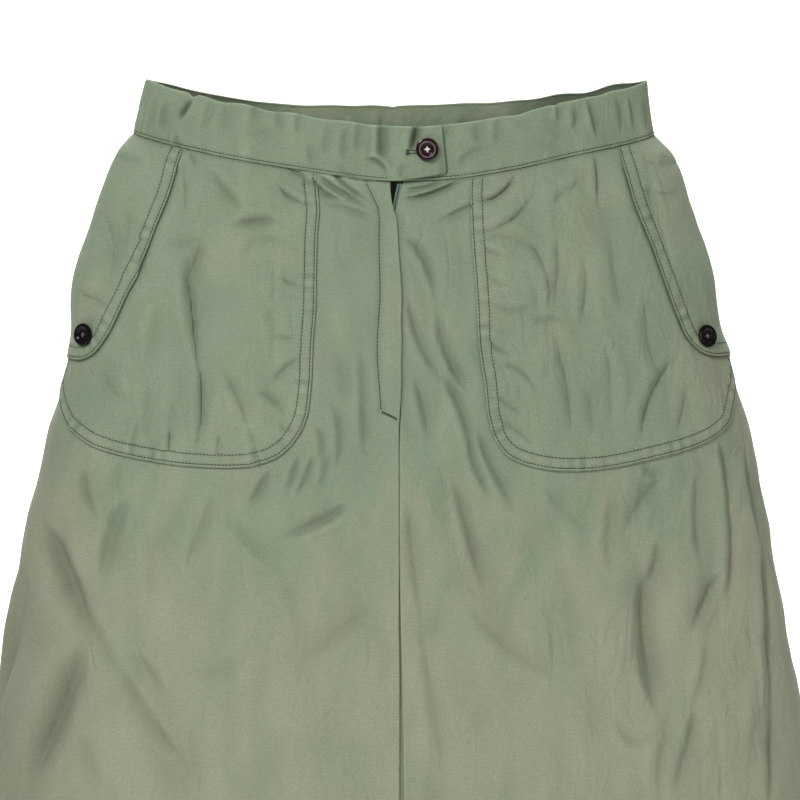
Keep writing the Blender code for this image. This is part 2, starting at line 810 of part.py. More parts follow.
WAIST_BUTTON_ANGLE = 7.2
WAIST_BUTTON_LEVEL = 3.2
tab_point, tab_out = section_point(
    np.array(WAIST_BUTTON_ANGLE), np.array(WAIST_BUTTON_LEVEL), BAND_SECTIONS
)
button("button_waist", tab_point + tab_out * (BAND_OUT + TAB_RISE + BUTTON_GAP), tab_out)
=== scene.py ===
"""Cargo utility skirt, dressed: each piece of cloth as a thin shell with its folds and seams, the
stitching, the zip and the buttons. Sizes are in millimetres until a point is placed."""
import math

import bmesh
import bpy
import numpy as np
from mathutils import Matrix, Vector


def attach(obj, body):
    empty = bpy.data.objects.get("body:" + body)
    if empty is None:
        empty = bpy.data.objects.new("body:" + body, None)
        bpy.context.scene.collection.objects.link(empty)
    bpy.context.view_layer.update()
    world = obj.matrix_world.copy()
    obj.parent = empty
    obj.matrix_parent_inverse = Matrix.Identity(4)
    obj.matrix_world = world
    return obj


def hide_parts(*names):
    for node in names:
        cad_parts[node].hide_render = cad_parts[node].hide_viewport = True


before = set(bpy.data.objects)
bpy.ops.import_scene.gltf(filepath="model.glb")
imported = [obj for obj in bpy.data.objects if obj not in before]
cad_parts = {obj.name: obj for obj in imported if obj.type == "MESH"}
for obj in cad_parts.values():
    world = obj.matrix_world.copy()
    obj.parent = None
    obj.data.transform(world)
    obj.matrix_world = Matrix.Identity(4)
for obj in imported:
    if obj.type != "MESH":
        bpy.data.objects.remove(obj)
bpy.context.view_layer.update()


# Front, wearer's right: sage poplin cut in one from waist to hem. Its fly edge is turned back
# and laps over the other front, and below the fly the centre seam runs down to the pleat.
MM = 0.001
WAIST_SEAM = -17.4
SEAM_GAP = 0.3
TOP_LEVEL = WAIST_SEAM - SEAM_GAP
HEM = -683.0
SIDE_SEAM = 91.0
SIDE_GAP = 0.02
SKIRT_SECTIONS = (
    # level, centre_x, half_width, front_depth, back_depth
    (WAIST_SEAM, -1.8, 173.8, 38.0, 39.0),
    (-24.0, -2.2, 178.2, 41.0, 42.0),
    (-35.0, -1.8, 185.2, 45.0, 47.0),
    (-62.0, -2.2, 195.4, 52.0, 55.0),
    (-89.0, -1.8, 204.1, 58.0, 62.0),
    (-116.0, -2.0, 212.0, 63.5, 68.0),
    (-132.0, -2.0, 214.2, 66.5, 71.0),
    (-150.0, -0.8, 215.0, 69.5, 74.0),
    (-165.0, 0.8, 219.0, 71.5, 76.0),
    (-180.0, 1.4, 223.5, 73.5, 77.5),
    (-200.0, 1.8, 229.5, 75.0, 79.0),
    (-215.0, 1.5, 234.5, 76.0, 80.0),
    (-234.0, 1.2, 239.0, 77.0, 80.5),
    (-263.0, 0.6, 245.6, 78.0, 81.0),
    (-317.0, 0.0, 256.0, 79.0, 82.0),
    (-384.0, 0.3, 267.5, 80.0, 83.0),
    (-520.0, 0.0, 286.0, 82.0, 85.0),
    (HEM, 0.0, 303.0, 85.0, 88.0),
)
WAIST_DROP = (
    # angle, drop of the waist seam below its height at the sides
    (-180.0, 17.6),
    (-151.0, 16.0),
    (-130.0, 9.0),
    (-112.0, 2.5),
    (-90.0, 0.0),
    (-61.0, 7.0),
    (-50.0, 11.5),
    (-39.0, 16.5),
    (-18.0, 25.5),
    (0.0, 31.8),
    (12.0, 30.5),
    (27.0, 24.0),
    (43.0, 15.0),
    (61.0, 8.0),
    (90.0, 0.8),
    (112.0, 2.5),
    (133.0, 8.5),
    (151.0, 14.0),
    (180.0, 17.6),
)
DROP_ENDS = -320.0
FOLDS = (
    # girth_1, height_1, girth_2, height_2, girth_3, height_3, half_width, depth, ridge
    # the largest, below the pockets
    (-240, -272, -226, -311, -200, -358, 13, 7.5, 3.0),
    (-217, -357, -236, -401, -262, -470, 13, 7.0, 3.0),
    (-190, -354, -158, -414, -128, -480, 18, 5.0, 1.5),
    (-12, -316, -42, -348, -88, -386, 17, 3.0, 1.0),
    (-184, -255, -194, -289, -199, -325, 13, 3.0, 1.0),
    (180, -290, 165, -342, 171, -404, 13, 5.5, 2.5),
    (40, -255, 62, -317, 106, -366, 16, 3.0, 1.0),
    (224, -305, 212, -329, 203, -352, 13, 3.0, 1.0),
    (183, -238, 166, -260, 146, -279, 13, 2.5, 0.5),
    (264, -370, 257, -410, 250, -450, 14, 3.0, 1.0),
    # under the waistband and on the pockets
    (-128, -66, -139, -131, -131, -206, 13, 3.0, 1.0),
    (-122, -34, -104, -65, -78, -84, 12, 2.0, 0.5),
    (138, -32, 139, -62, 137, -95, 12, 2.5, 1.0),
    (12, -90, 26, -147, 37, -212, 12, 2.0, 0.5),
    (-206, -72, -198, -93, -190, -112, 14, 2.0, 0.5),
    # front flutes that run down to the hem
    (-262, -440, -268, -570, -272, -760, 17, 8.0, 3.0),
    (-128, -455, -112, -590, -104, -760, 22, 9.0, 3.5),
    (36, -430, 44, -570, 50, -760, 20, 7.5, 3.0),
    (176, -445, 182, -580, 190, -760, 20, 8.5, 3.5),
    (262, -450, 272, -580, 280, -760, 16, 6.5, 2.5),
    (-36, -500, -40, -610, -42, -760, 18, 5.0, 2.0),
    (112, -520, 118, -620, 122, -760, 18, 5.5, 2.0),
    # back, under the waistband and over the seat
    (-352, -60, -366, -120, -372, -205, 15, 3.0, 1.0),
    (402, -52, 392, -118, 396, -200, 15, 3.0, 1.0),
    (-300, -196, -330, -244, -366, -282, 15, 3.5, 1.0),
    (310, -205, 342, -250, 380, -280, 15, 3.5, 1.0),
    (452, -150, 448, -215, 456, -290, 14, 2.5, 1.0),
    # back flutes that run down to the hem
    (-336, -300, -344, -480, -352, -760, 20, 8.5, 3.5),
    (-420, -360, -436, -540, -444, -760, 20, 8.0, 3.0),
    (-505, -330, -522, -520, -530, -760, 22, 9.0, 3.5),
    (-596, -380, -606, -560, -612, -760, 18, 6.5, 2.5),
    (330, -330, 344, -500, 352, -760, 20, 8.5, 3.5),
    (424, -320, 436, -520, 446, -760, 20, 7.5, 3.0),
    (512, -390, 526, -560, 536, -760, 20, 8.5, 3.5),
)
CREASES = (
    # the same measures, for the sharper creases
    # wearer's right: on the pocket
    (-127, -86, -134, -103, -140, -120, 5.0, 1.8, 0.6),
    (-142, -104, -136, -134, -132, -190, 4.6, 2.3, 1.2),
    (-133, -167, -132, -197, -134, -230, 4.2, 1.9, 0.7),
    (-127, -36, -113, -55, -98, -72, 4.5, 1.5, -0.7),
    (-110, -79, -93, -76, -73, -76, 5.0, 2.4, -0.9),
    (-100, -105, -87, -88, -59, -95, 5.0, 1.1, -0.5),
    (-157, -125, -161, -148, -173, -177, 6.0, 1.3, 0.6),
    (-208, -172, -197, -187, -182, -196, 6.5, 1.3, 0.5),
    (-85, -129, -79, -147, -84, -168, 6.5, 1.4, 0.5),
    (-117, -171, -107, -192, -99, -213, 4.6, 1.7, 0.8),
    (-100, -209, -95, -223, -89, -242, 4.0, 1.3, 0.6),
    (-85, -184, -75, -173, -60, -163, 3.0, 1.4, -0.6),
    (-97, -188, -85, -192, -72, -208, 3.6, 1.3, 0.5),
    (-76, -110, -70, -116, -60, -118, 2.6, 0.8, 0.4),
    (-78, -148, -72, -152, -62, -150, 2.8, 0.9, -0.4),
    (-80, -206, -76, -212, -66, -214, 2.8, 0.9, 0.4),
    (-176, -70, -170, -98, -178, -126, 6.0, 1.1, 0.6),
    (-166, -176, -170, -200, -168, -226, 4.6, 1.0, 0.5),
    (-118, -214, -120, -224, -119, -234, 2.6, 0.8, 0.4),
    (-152, -212, -153, -222, -151, -232, 2.6, 0.8, 0.4),
    (-157, -87, -142, -91, -127, -86, 5.0, 1.1, -0.5),
    (-141, -38, -139, -57, -140, -77, 3.0, 0.7, 0.3),
    (-136, -29, -134, -35, -130, -43, 2.0, 0.9, 0.4),
    (-173, -206, -178, -218, -181, -235, 3.4, 0.9, 0.4),
    (-149, -191, -153, -210, -154, -235, 4.2, 0.9, 0.4),
    # wearer's right: fanned out under the waist seam towards the fly
    (-76, -38, -63, -45, -51, -49, 2.0, 1.3, -0.6),
    (-78, -48, -69, -60, -52, -64, 2.6, 1.5, -0.7),
    (-54, -45, -46, -57, -30, -63, 2.0, 2.0, -1.0),
    (-52, -44, -38, -54, -13, -68, 1.9, 1.9, -1.0),
    (-42, -42, -31, -53, -13, -64, 1.8, 1.8, -0.9),
    (-50, -61, -30, -68, -10, -75, 2.6, 1.2, -0.6),
    # wearer's right: between the pocket and the fly
    (-39, -160, -34, -179, -34, -198, 6.0, 1.1, 0.5),
    (-21, -154, -23, -193, -22, -239, 4.2, 2.0, 0.9),
    (-58, -209, -51, -221, -53, -243, 2.8, 1.8, 0.8),
    (-47, -193, -39, -214, -43, -246, 3.2, 1.8, 0.8),
    # wearer's right: on the flap
    (-204, -70, -194, -91, -196, -120, 8.0, 1.2, 0.8),
    (-186, -60, -180, -84, -186, -104, 7.0, 0.9, -0.6),
    (-221, -124, -205, -127, -190, -134, 4.0, 1.0, -0.6),
    (-197, -34, -179, -37, -162, -38, 5.0, 0.7, -0.4),
    # wearer's right: below the pocket
    (-250, -272, -230, -306, -206, -346, 8.5, 3.8, -1.6),
    (-222, -325, -202, -353, -182, -386, 7.5, 2.4, -1.0),
    (-208, -344, -226, -391, -264, -474, 8.5, 3.2, 1.4),
    (-262, -300, -266, -340, -284, -400, 9.0, 2.0, 0.8),
    (-213, -237, -215, -254, -202, -274, 3.6, 2.0, 0.8),
    (-178, -257, -193, -282, -200, -324, 5.2, 2.2, 1.0),
    (-185, -232, -192, -246, -195, -260, 4.0, 1.3, 0.6),
    (-121, -253, -128, -276, -144, -312, 5.0, 1.7, 0.8),
    (-85, -237, -91, -251, -100, -267, 3.2, 2.2, 0.9),
    (-108, -270, -97, -287, -79, -304, 4.8, 1.4, 0.6),
    (-30, -259, -50, -273, -83, -286, 3.8, 2.6, -1.1),
    (-65, -227, -70, -243, -74, -259, 2.6, 1.5, 0.7),
    (-55, -225, -61, -243, -69, -260, 2.6, 1.6, 0.7),
    (-43, -223, -49, -240, -51, -256, 2.8, 1.6, 0.7),
    (-169, -273, -163, -303, -165, -356, 6.0, 1.2, 0.5),
    (-12, -323, -35, -346, -63, -365, 6.0, 1.5, -0.7),
    (-75, -309, -67, -329, -64, -355, 6.0, 1.0, 0.4),
    (-188, -361, -169, -402, -132, -443, 4.6, 1.6, -0.7),
    (-180, -359, -166, -373, -152, -396, 4.4, 1.1, -0.5),
    (-147, -365, -123, -375, -93, -359, 6.5, 1.1, 0.5),
    (-216, -412, -208, -435, -196, -463, 8.0, 1.8, 0.6),
    (-280, -330, -276, -363, -286, -410, 6.0, 2.0, 0.7),
    # wearer's left: under the tab and across the top of the pocket
    (3, -55, 22, -53, 40, -47, 1.8, 1.5, -0.8),
    (2, -61, 26, -57, 51, -44, 2.1, 2.2, -1.1),
    (52, -63, 70, -58, 84, -41, 3.0, 2.4, -1.0),
    (26, -76, 43, -70, 57, -61, 3.2, 1.5, -0.7),
    (54, -81, 76, -76, 96, -54, 3.0, 1.6, -0.7),
    (53, -91, 78, -86, 103, -104, 4.2, 1.1, -0.5),
    # wearer's left: long ones from the fly down past the pocket
    (5, -87, 20, -100, 29, -135, 3.4, 2.2, 1.0),
    (28, -128, 35, -164, 49, -194, 3.6, 2.2, 1.0),
    (8, -120, 17, -154, 30, -181, 3.6, 1.9, 0.9),
    (28, -176, 41, -200, 52, -243, 3.6, 2.4, 1.1),
    (10, -175, 16, -197, 20, -222, 4.0, 1.6, 0.7),
    # wearer's left: on the pocket
    (108, -79, 109, -109, 105, -143, 6.0, 1.4, 0.6),
    (106, -145, 111, -179, 114, -220, 5.4, 1.5, 0.6),
    (86, -83, 100, -107, 102, -134, 4.0, 1.2, 0.5),
    (91, -143, 102, -140, 118, -140, 3.6, 1.1, -0.4),
    (63, -126, 78, -134, 98, -128, 3.6, 1.1, -0.4),
    (60, -90, 66, -96, 78, -98, 2.6, 0.9, -0.4),
    (62, -108, 70, -116, 82, -116, 2.6, 0.8, -0.4),
    (64, -192, 72, -196, 84, -206, 3.0, 0.9, 0.4),
    (66, -206, 76, -212, 90, -224, 3.0, 0.9, 0.4),
    (126, -100, 128, -122, 122, -150, 5.0, 1.2, 0.6),
    (138, -150, 142, -180, 140, -216, 5.0, 1.1, -0.6),
    (172, -120, 170, -150, 176, -186, 6.0, 1.2, 0.6),
    (196, -182, 192, -202, 186, -218, 4.6, 1.0, 0.5),
    (62, -152, 69, -160, 80, -164, 3.2, 1.0, 0.4),
    (64, -175, 80, -173, 92, -192, 3.2, 1.1, 0.5),
    (134, -29, 136, -47, 136, -70, 2.8, 1.4, 0.6),
    (102, -67, 116, -55, 132, -45, 4.0, 1.1, -0.5),
    (145, -79, 147, -108, 154, -140, 6.0, 1.1, 0.5),
    (162, -223, 170, -190, 197, -159, 5.4, 2.2, -1.0),
    (124, -183, 128, -200, 127, -220, 6.0, 1.0, 0.4),
    # wearer's left: on the flap
    (165, -34, 182, -39, 206, -38, 5.0, 0.9, -0.4),
    (163, -53, 180, -57, 206, -56, 5.5, 0.9, -0.4),
    # wearer's left: below the pocket
    (217, -219, 225, -239, 226, -269, 4.6, 2.2, 0.9),
    (161, -228, 172, -243, 188, -229, 3.4, 1.2, 0.5),
    (52, -209, 60, -234, 82, -273, 3.4, 2.4, 1.0),
    (166, -300, 167, -352, 175, -412, 6.4, 2.4, 1.2),
    (170, -285, 174, -300, 165, -319, 4.6, 1.6, 0.7),
    (44, -213, 51, -238, 65, -261, 2.8, 1.9, 0.8),
    (35, -242, 46, -276, 61, -328, 4.0, 2.2, 1.0),
    (6, -255, 11, -293, 18, -348, 5.4, 1.4, 0.6),
    (15, -338, 24, -390, 35, -456, 6.0, 1.6, 0.7),
    (43, -320, 73, -354, 114, -380, 6.5, 1.3, 0.6),
    (145, -254, 141, -279, 143, -312, 5.2, 1.2, 0.6),
    (184, -240, 166, -260, 147, -286, 4.8, 1.6, -0.8),
    (206, -234, 202, -271, 207, -310, 4.4, 1.6, 0.7),
    (223, -245, 229, -288, 224, -338, 5.0, 2.2, 1.0),
    (221, -306, 210, -327, 195, -353, 4.6, 1.8, -0.8),
    (258, -276, 257, -342, 260, -422, 5.4, 2.6, 1.1),
    (259, -395, 258, -435, 252, -471, 5.4, 2.2, 0.9),
    (199, -393, 196, -422, 183, -458, 6.0, 2.0, 0.8),
    (209, -347, 206, -377, 196, -403, 4.8, 1.3, 0.6),
    (144, -394, 159, -420, 187, -400, 4.4, 1.2, 0.6),
    (93, -246, 111, -264, 130, -283, 6.0, 1.0, 0.5),
    (243, -222, 248, -256, 257, -302, 4.4, 1.7, 0.8),
    (183, -396, 178, -427, 175, -462, 7.0, 1.3, 0.6),
    # lower front, down to the hem
    (-150, -470, -140, -540, -136, -650, 6.5, 1.6, 0.8),
    (-230, -480, -240, -560, -244, -660, 6.0, 2.2, 1.0),
    (-70, -480, -64, -560, -66, -650, 7.0, 1.4, 0.7),
    (66, -490, 76, -570, 80, -660, 6.5, 1.6, 0.8),
    (206, -480, 214, -560, 220, -660, 6.0, 2.2, 1.0),
    (150, -500, 146, -570, 150, -650, 7.0, 1.4, 0.7),
    # back: under the waistband, over the seat and down to the hem
    (-330, -48, -345, -70, -362, -82, 3.6, 1.5, 0.7),
    (-310, -60, -322, -95, -345, -118, 4.2, 1.6, 0.8),
    (-430, -40, -446, -62, -470, -70, 3.4, 1.4, 0.6),
    (352, -46, 338, -72, 316, -90, 3.6, 1.6, -0.7),
    (372, -60, 366, -98, 372, -150, 4.4, 1.6, 0.8),
    (446, -48, 462, -66, 484, -74, 3.4, 1.3, 0.6),
    (-340, -150, -372, -176, -408, -186, 4.8, 2.0, 0.9),
    (-306, -250, -330, -292, -344, -350, 5.0, 2.4, 1.1),
    (-452, -190, -462, -240, -458, -300, 5.2, 1.7, 0.8),
    (-398, -240, -412, -300, -418, -370, 5.0, 2.2, 1.0),
    (-500, -290, -512, -370, -518, -450, 5.6, 2.4, 1.1),
    (-352, -400, -362, -500, -366, -620, 5.4, 2.6, 1.2),
    (-448, -420, -462, -520, -470, -640, 5.6, 2.2, 1.0),
    (-560, -400, -572, -500, -578, -640, 5.8, 2.0, 0.9),
    (326, -180, 356, -204, 398, -214, 4.8, 2.0, 0.9),
    (318, -270, 336, -330, 344, -400, 5.0, 2.4, 1.1),
    (404, -220, 416, -290, 422, -360, 5.0, 2.0, 0.9),
    (468, -210, 478, -280, 476, -350, 5.2, 1.8, 0.8),
    (352, -430, 364, -530, 370, -640, 5.4, 2.6, 1.2),
    (440, -420, 456, -530, 464, -640, 5.6, 2.2, 1.0),
    (536, -380, 550, -500, 558, -640, 5.8, 2.0, 0.9),
)
FLAP_BUTTONS = ((-214.5, -151.7), (213.6, -153.2))
BUTTON_SEAT = 15.0
RUMPLES = (
    # length of a wave, how it leans in the cloth (x, y, z), height
    (46.0, (0.90, 0.30, 0.30), 0.42),
    (33.0, (0.75, -0.40, -0.52), 0.26),
    (58.0, (-0.45, 0.35, 0.82), 0.38),
    (25.0, (0.97, 0.10, 0.18), 0.20),
    (19.0, (0.55, 0.50, -0.67), 0.10),
    (16.0, (0.98, 0.20, 0.07), 0.11),
)
FOLD_STEPS = 12
FOLD_REACH = 3.6
FOLD_ENDS = 0.36
CREST_PLACE = 1.4
CREST_LENGTH = 2.6
CREASE_TAPER = 0.45
CREASE_LEAN = 1.3
CREASE_DEPTH = 1.8
# how strongly the folds are painted into the cloth's colour: painted shade in their troughs,
# painted highlight on their ridges
TONE_DEPTH = 0.56
TONE_LIMITS = (-1.0, 0.7)


def curve_between(t, span, start, start_slope, end, end_slope):
    """The curve from one row of a table to the next that leaves and meets them at their slopes."""
    return (
        (2 * t**3 - 3 * t**2 + 1) * start
        + (t**3 - 2 * t**2 + t) * span * start_slope
        + (3 * t**2 - 2 * t**3) * end
        + (t**3 - t**2) * span * end_slope
    )


def smooth_read(table, column, at):
    """Reads a column of a table at any value of its first column, on a curve through the rows."""
    rows = np.array(sorted(table))
    known, value = rows[:, 0], rows[:, column]
    slope = np.gradient(value, known)
    at = np.clip(at, known[0], known[-1])
    row = np.clip(np.searchsorted(known, at) - 1, 0, len(known) - 2)
    span = known[row + 1] - known[row]
    t = (at - known[row]) / span
    return curve_between(t, span, value[row], slope[row], value[row + 1], slope[row + 1])


def ease(t):
    """A soft step from 0 to 1."""
    t = np.clip(t, 0.0, 1.0)
    return t * t * (3 - 2 * t)


def bell(away, width):
    """A soft hump, 1 high in the middle, that fades within about twice its width."""
    return np.exp(-((away / width) ** 2))


def half_depth(sections, angle, level):
    """The section's depth on the side of the body that the angle lies on."""
    front = smooth_read(sections, 3, level)
    back = smooth_read(sections, 4, level)
    return np.where(np.cos(np.radians(angle)) >= 0, front, back)


def wrapped(angle):
    """The angle round the body, from -180 to 180."""
    return (angle + 180.0) % 360.0 - 180.0


def height(angle, level):
    """The level lowered by the dip of the waist seam, which fades out below the hips."""
    fading = 1 - ease((level - WAIST_SEAM) / (DROP_ENDS - WAIST_SEAM))
    return level - smooth_read(WAIST_DROP, 1, wrapped(angle)) * fading


# the girth at each level and angle, worked out once: the sum of the small steps round a section
LEVEL_STEP = 2.0
ANGLE_STEP = 0.5
ANGLE_ROUNDS = 12
SPOT_ROUNDS = 6
map_levels = np.arange(HEM - 12.0, WAIST_SEAM + LEVEL_STEP, LEVEL_STEP)
map_angles = np.arange(-180.0, 180.0 + ANGLE_STEP / 2, ANGLE_STEP)
level_grid, angle_grid = np.meshgrid(map_levels, map_angles, indexing="ij")
step_length = np.hypot(
    smooth_read(SKIRT_SECTIONS, 2, level_grid) * np.cos(np.radians(angle_grid)),
    half_depth(SKIRT_SECTIONS, angle_grid, level_grid) * np.sin(np.radians(angle_grid)),
) * math.radians(ANGLE_STEP)
girth_map = np.cumsum((step_length[:, 1:] + step_length[:, :-1]) / 2, axis=1)
girth_map = np.hstack([np.zeros((len(map_levels), 1)), girth_map])
girth_map -= girth_map[:, [len(map_angles) // 2]]


def girth(angle, level):
    """The distance round the skirt from the centre front, positive to the wearer's left."""
    row = np.clip((level - map_levels[0]) / LEVEL_STEP, 0, len(map_levels) - 1.001)
    column = np.clip((wrapped(angle) + 180.0) / ANGLE_STEP, 0, len(map_angles) - 1.001)
    r, c = row.astype(int), column.astype(int)
    low = girth_map[r, c] + (girth_map[r, c + 1] - girth_map[r, c]) * (column - c)
    top = girth_map[r + 1, c] + (girth_map[r + 1, c + 1] - girth_map[r + 1, c]) * (column - c)
    return low + (top - low) * (row - r)


def angle_at(distance, level):
    """The angle that lies at a distance round the skirt from the centre front."""
    distance, level = np.broadcast_arrays(distance * 1.0, level * 1.0)
    angle = np.degrees(distance / smooth_read(SKIRT_SECTIONS, 2, level))
    for _ in range(ANGLE_ROUNDS):
        here = girth(angle, level)
        speed = (girth(angle + 0.5, level) - here) / 0.5
        angle = np.clip(angle + np.clip((distance - here) / speed, -12, 12), -179.4, 179.4)
    return angle


def spot(distance, high):
    """The angle and level of a place given by its distance round and its height."""
    level = high * 1.0
    for _ in range(SPOT_ROUNDS):
        angle = angle_at(distance, level)
        level = level + high - height(angle, level)
    return angle, level


def fold_relief(distance, high, folds, crisp=False):
    """How far the folds move the cloth out, and in where it is negative, and how steep they
    are, for the cloth's painted tone: painted shade in a fold's trough and painted highlight
    on its ridge. A fold is a trough along a curve through three points, and a ridge beside it:
    on the right hand of its path, or on the left where it is negative. A crisp one has a sharp
    bottom, tapers to its ends, and is steeper towards its ridge."""
    relief = np.zeros_like(distance)
    tone = np.zeros_like(distance)
    t = np.linspace(0.0, 1.0, FOLD_STEPS + 1)
    for u1, z1, u2, z2, u3, z3, half_width, depth, ridge in folds:
        reach = FOLD_REACH * half_width
        close = (distance > min(u1, u2, u3) - reach) & (distance < max(u1, u2, u3) + reach)
        close &= (high > min(z1, z2, z3) - reach) & (high < max(z1, z2, z3) + reach)
        if not close.any():
            continue
        u, z = distance[close], high[close]
        bow = (2 * u2 - (u1 + u3) / 2, 2 * z2 - (z1 + z3) / 2)
        path_u = (1 - t) ** 2 * u1 + 2 * t * (1 - t) * bow[0] + t * t * u3
        path_z = (1 - t) ** 2 * z1 + 2 * t * (1 - t) * bow[1] + t * t * z3
        nearest = np.full_like(u, 1e9)
        side = np.zeros_like(u)
        along = np.zeros_like(u)
        for step in range(FOLD_STEPS):
            du, dz = path_u[step + 1] - path_u[step], path_z[step + 1] - path_z[step]
            length = math.hypot(du, dz)
            from_u, from_z = u - path_u[step], z - path_z[step]
            part = np.clip((from_u * du + from_z * dz) / length**2, 0.0, 1.0)
            away = np.hypot(from_u - part * du, from_z - part * dz)
            closer = away < nearest
            nearest = np.where(closer, away, nearest)
            side = np.where(closer, (from_u * dz - from_z * du) / length, side)
            along = np.where(closer, (step + part) / FOLD_STEPS, along)
        fading = ease(np.minimum(along, 1 - along) / FOLD_ENDS)
        side = side * math.copysign(1, ridge) / half_width
        nearest = nearest / half_width
        if crisp:
            taper = CREASE_TAPER + (1 - CREASE_TAPER) * fading
            side, nearest = side / taper, nearest / taper
            lean = nearest * np.where(side > 0, CREASE_LEAN, 1 / CREASE_LEAN)
            trough = np.exp(-1.5 * (np.sqrt(lean * lean + 0.02) - 0.14))
        else:
            trough = np.exp(-(nearest**2))
        crest = np.exp(-((side - CREST_PLACE) ** 2) - (nearest / CREST_LENGTH) ** 4)
        relief[close] += fading * (abs(ridge) * crest - depth * trough)
        tone[close] += fading * (abs(ridge) * crest - depth * np.exp(-(nearest**2))) / half_width
    return relief, tone


def rumple(point):
    """The slight unevenness of worn poplin: long low waves that cross each other."""
    total = 0.0
    for number, (length, lean, high) in enumerate(RUMPLES):
        bend = np.sin(point @ np.array(lean)[[2, 0, 1]] / (0.55 * length) + 1.7 * number)
        total = total + high * np.sin(point @ np.array(lean) * 2 * math.pi / length + 1.4 * bend)
    return total


def cloth_relief(distance, point):
    """The relief of the skirt's cloth and its painted tone: painted shade in the folds and
    painted highlight on their ridges. It lies calm under the flap buttons.
    """
    calm = 1.0
    for u, z in FLAP_BUTTONS:
        away = np.hypot(distance - u, point[..., 2] - z)
        calm = calm * (1 - np.exp(-((away / BUTTON_SEAT) ** 4)))
    broad, broad_tone = fold_relief(distance, point[..., 2], FOLDS)
    sharp, sharp_tone = fold_relief(distance, point[..., 2], CREASES, crisp=True)
    waves = rumple(point)
    relief = broad + calm * (CREASE_DEPTH * sharp + waves)
    return relief, 0.8 * broad_tone + calm * (sharp_tone + 0.12 * waves)


def section_point(angle, level, sections):
    """A point of the smooth section, and the direction straight out of it."""
    turn = np.radians(angle)
    wide = smooth_read(sections, 2, level)
    deep = half_depth(sections, angle, level)
    x = smooth_read(sections, 1, level) + wide * np.sin(turn)
    y = -deep * np.cos(turn)
    out = np.stack([deep * np.sin(turn), -wide * np.cos(turn), 0 * x], axis=-1)
    out /= np.linalg.norm(out, axis=-1, keepdims=True)
    return np.stack([x, y, height(angle, level)], axis=-1), out


def folded_point(angle, level):
    """A point of the skirt's outer face, with its folds, and the painted tone of its folds there.
    """
    point, out = section_point(angle, level, SKIRT_SECTIONS)
    relief, tone = cloth_relief(girth(angle, level), point)
    return point + out * relief[..., None], tone


def cloth_frame(angle, level):
    """A point of the folded cloth, the direction out of it, and the painted tone of its folds."""
    point, tone = folded_point(angle, level)
    across = folded_point(angle + 0.3, level)[0] - point
    up = folded_point(angle, level + 1.0)[0] - point
    normal = np.cross(across, up)
    return point, normal / np.linalg.norm(normal, axis=-1, keepdims=True), tone


def skirt_point(angle, level, out=0.0):
    """A point of the skirt, moved out along the cloth's own normal."""
    angle, level, out = np.broadcast_arrays(angle * 1.0, level * 1.0, out * 1.0)
    point, normal, _ = cloth_frame(angle, level)
    return point + normal * out[..., None]


def painted_cloth_tone(angle, level):
    """The cloth's painted tone: painted highlight on its ridges, painted shade in its creases
    and along the waist seam, under the band.
    """
    painted_seam_shade = 0.32 * bell(TOP_LEVEL - level, 1.5)
    return np.clip(TONE_DEPTH * folded_point(angle, level)[1] - painted_seam_shade, *TONE_LIMITS)


def near_line(distance, high, line):
    """How far places are from a line of (girth, height) points, and how far along it."""
    nearest = np.full_like(distance, 1e9)
    along = np.zeros_like(distance)
    walked = 0.0
    for (u1, z1), (u2, z2) in zip(line[:-1], line[1:]):
        length = math.hypot(u2 - u1, z2 - z1)
        du, dz = (u2 - u1) / length, (z2 - z1) / length
        part = np.clip((distance - u1) * du + (high - z1) * dz, 0.0, length)
        away = np.hypot(distance - u1 - part * du, high - z1 - part * dz)
        closer = away < nearest
        nearest = np.where(closer, away, nearest)
        along = np.where(closer, walked + part, along)
        walked += length
    return nearest, along


def pucker(along, phase):
    """The uneven little waves that sewing draws into a seam, about 1 high."""
    wave = np.sin(along / 1.25 + phase) + 0.8 * np.sin(along / 1.9 + 2.3 * phase)
    return wave * (0.5 + 0.5 * np.sin(along / 11.0 + 3.1 * phase)) / 1.8


def feed(tree, node, inputs):
    """Gives a node's inputs their values: each a number, a colour or another node's output."""
    for place, value in inputs.items():
        socket = node.inputs[place]
        if isinstance(value, bpy.types.NodeSocket):
            tree.links.new(value, socket)
        elif socket.type == "RGBA":
            socket.default_value = (*value[:3], 1.0)
        else:
            socket.default_value = value


def add_node(tree, kind, inputs=None, **settings):
    """A shader node with its settings and its inputs."""
    node = tree.nodes.new("ShaderNode" + kind)
    for key, value in settings.items():
        setattr(node, key, value)
    feed(tree, node, inputs or {})
    return node


def calc(tree, operation, *values, clamp=False):
    """The result of a sum on numbers and other nodes' outputs."""
    node = add_node(tree, "Math", operation=operation, use_clamp=clamp)
    feed(tree, node, dict(enumerate(values)))
    return node.outputs[0]


def ranged(tree, value, limits, curve="LINEAR"):
    """A value moved from one range to another: from low and high, to low and high."""
    sockets = ("From Min", "From Max", "To Min", "To Max")
    return add_node(tree, "MapRange", {"Value": value, **dict(zip(sockets, limits))},
                    interpolation_type=curve).outputs[0]


def two_colours(tree, share, first, second):
    """The mix of two colours by a share of the second."""
    return add_node(tree, "Mix", {"Factor": share, "A": first, "B": second},
                    data_type="RGBA").outputs["Result"]


def noise(tree, place, **measures):
    """An even noise over a place."""
    values = {label.title(): value for label, value in measures.items()}
    return add_node(tree, "TexNoise", {"Vector": place, **values}).outputs["Fac"]


def stretched(tree, place, scale, turn=0.0):
    """A place stretched along its axes and turned in its plane."""
    return add_node(tree, "Mapping", {"Vector": place, "Scale": scale,
                                      "Rotation": (0.0, 0.0, turn)}).outputs[0]


def object_place(tree):
    """A material's place on the object."""
    return add_node(tree, "TexCoord").outputs["Object"]


def darker(colour, share):
    """A colour darkened to a share of itself."""
    return tuple(share * part for part in colour)


def new_material(name):
    """A new material, and its nodes and its shader."""
    material = bpy.data.materials.new(name)
    material.use_nodes = True
    return material, material.node_tree, material.node_tree.nodes["Principled BSDF"]


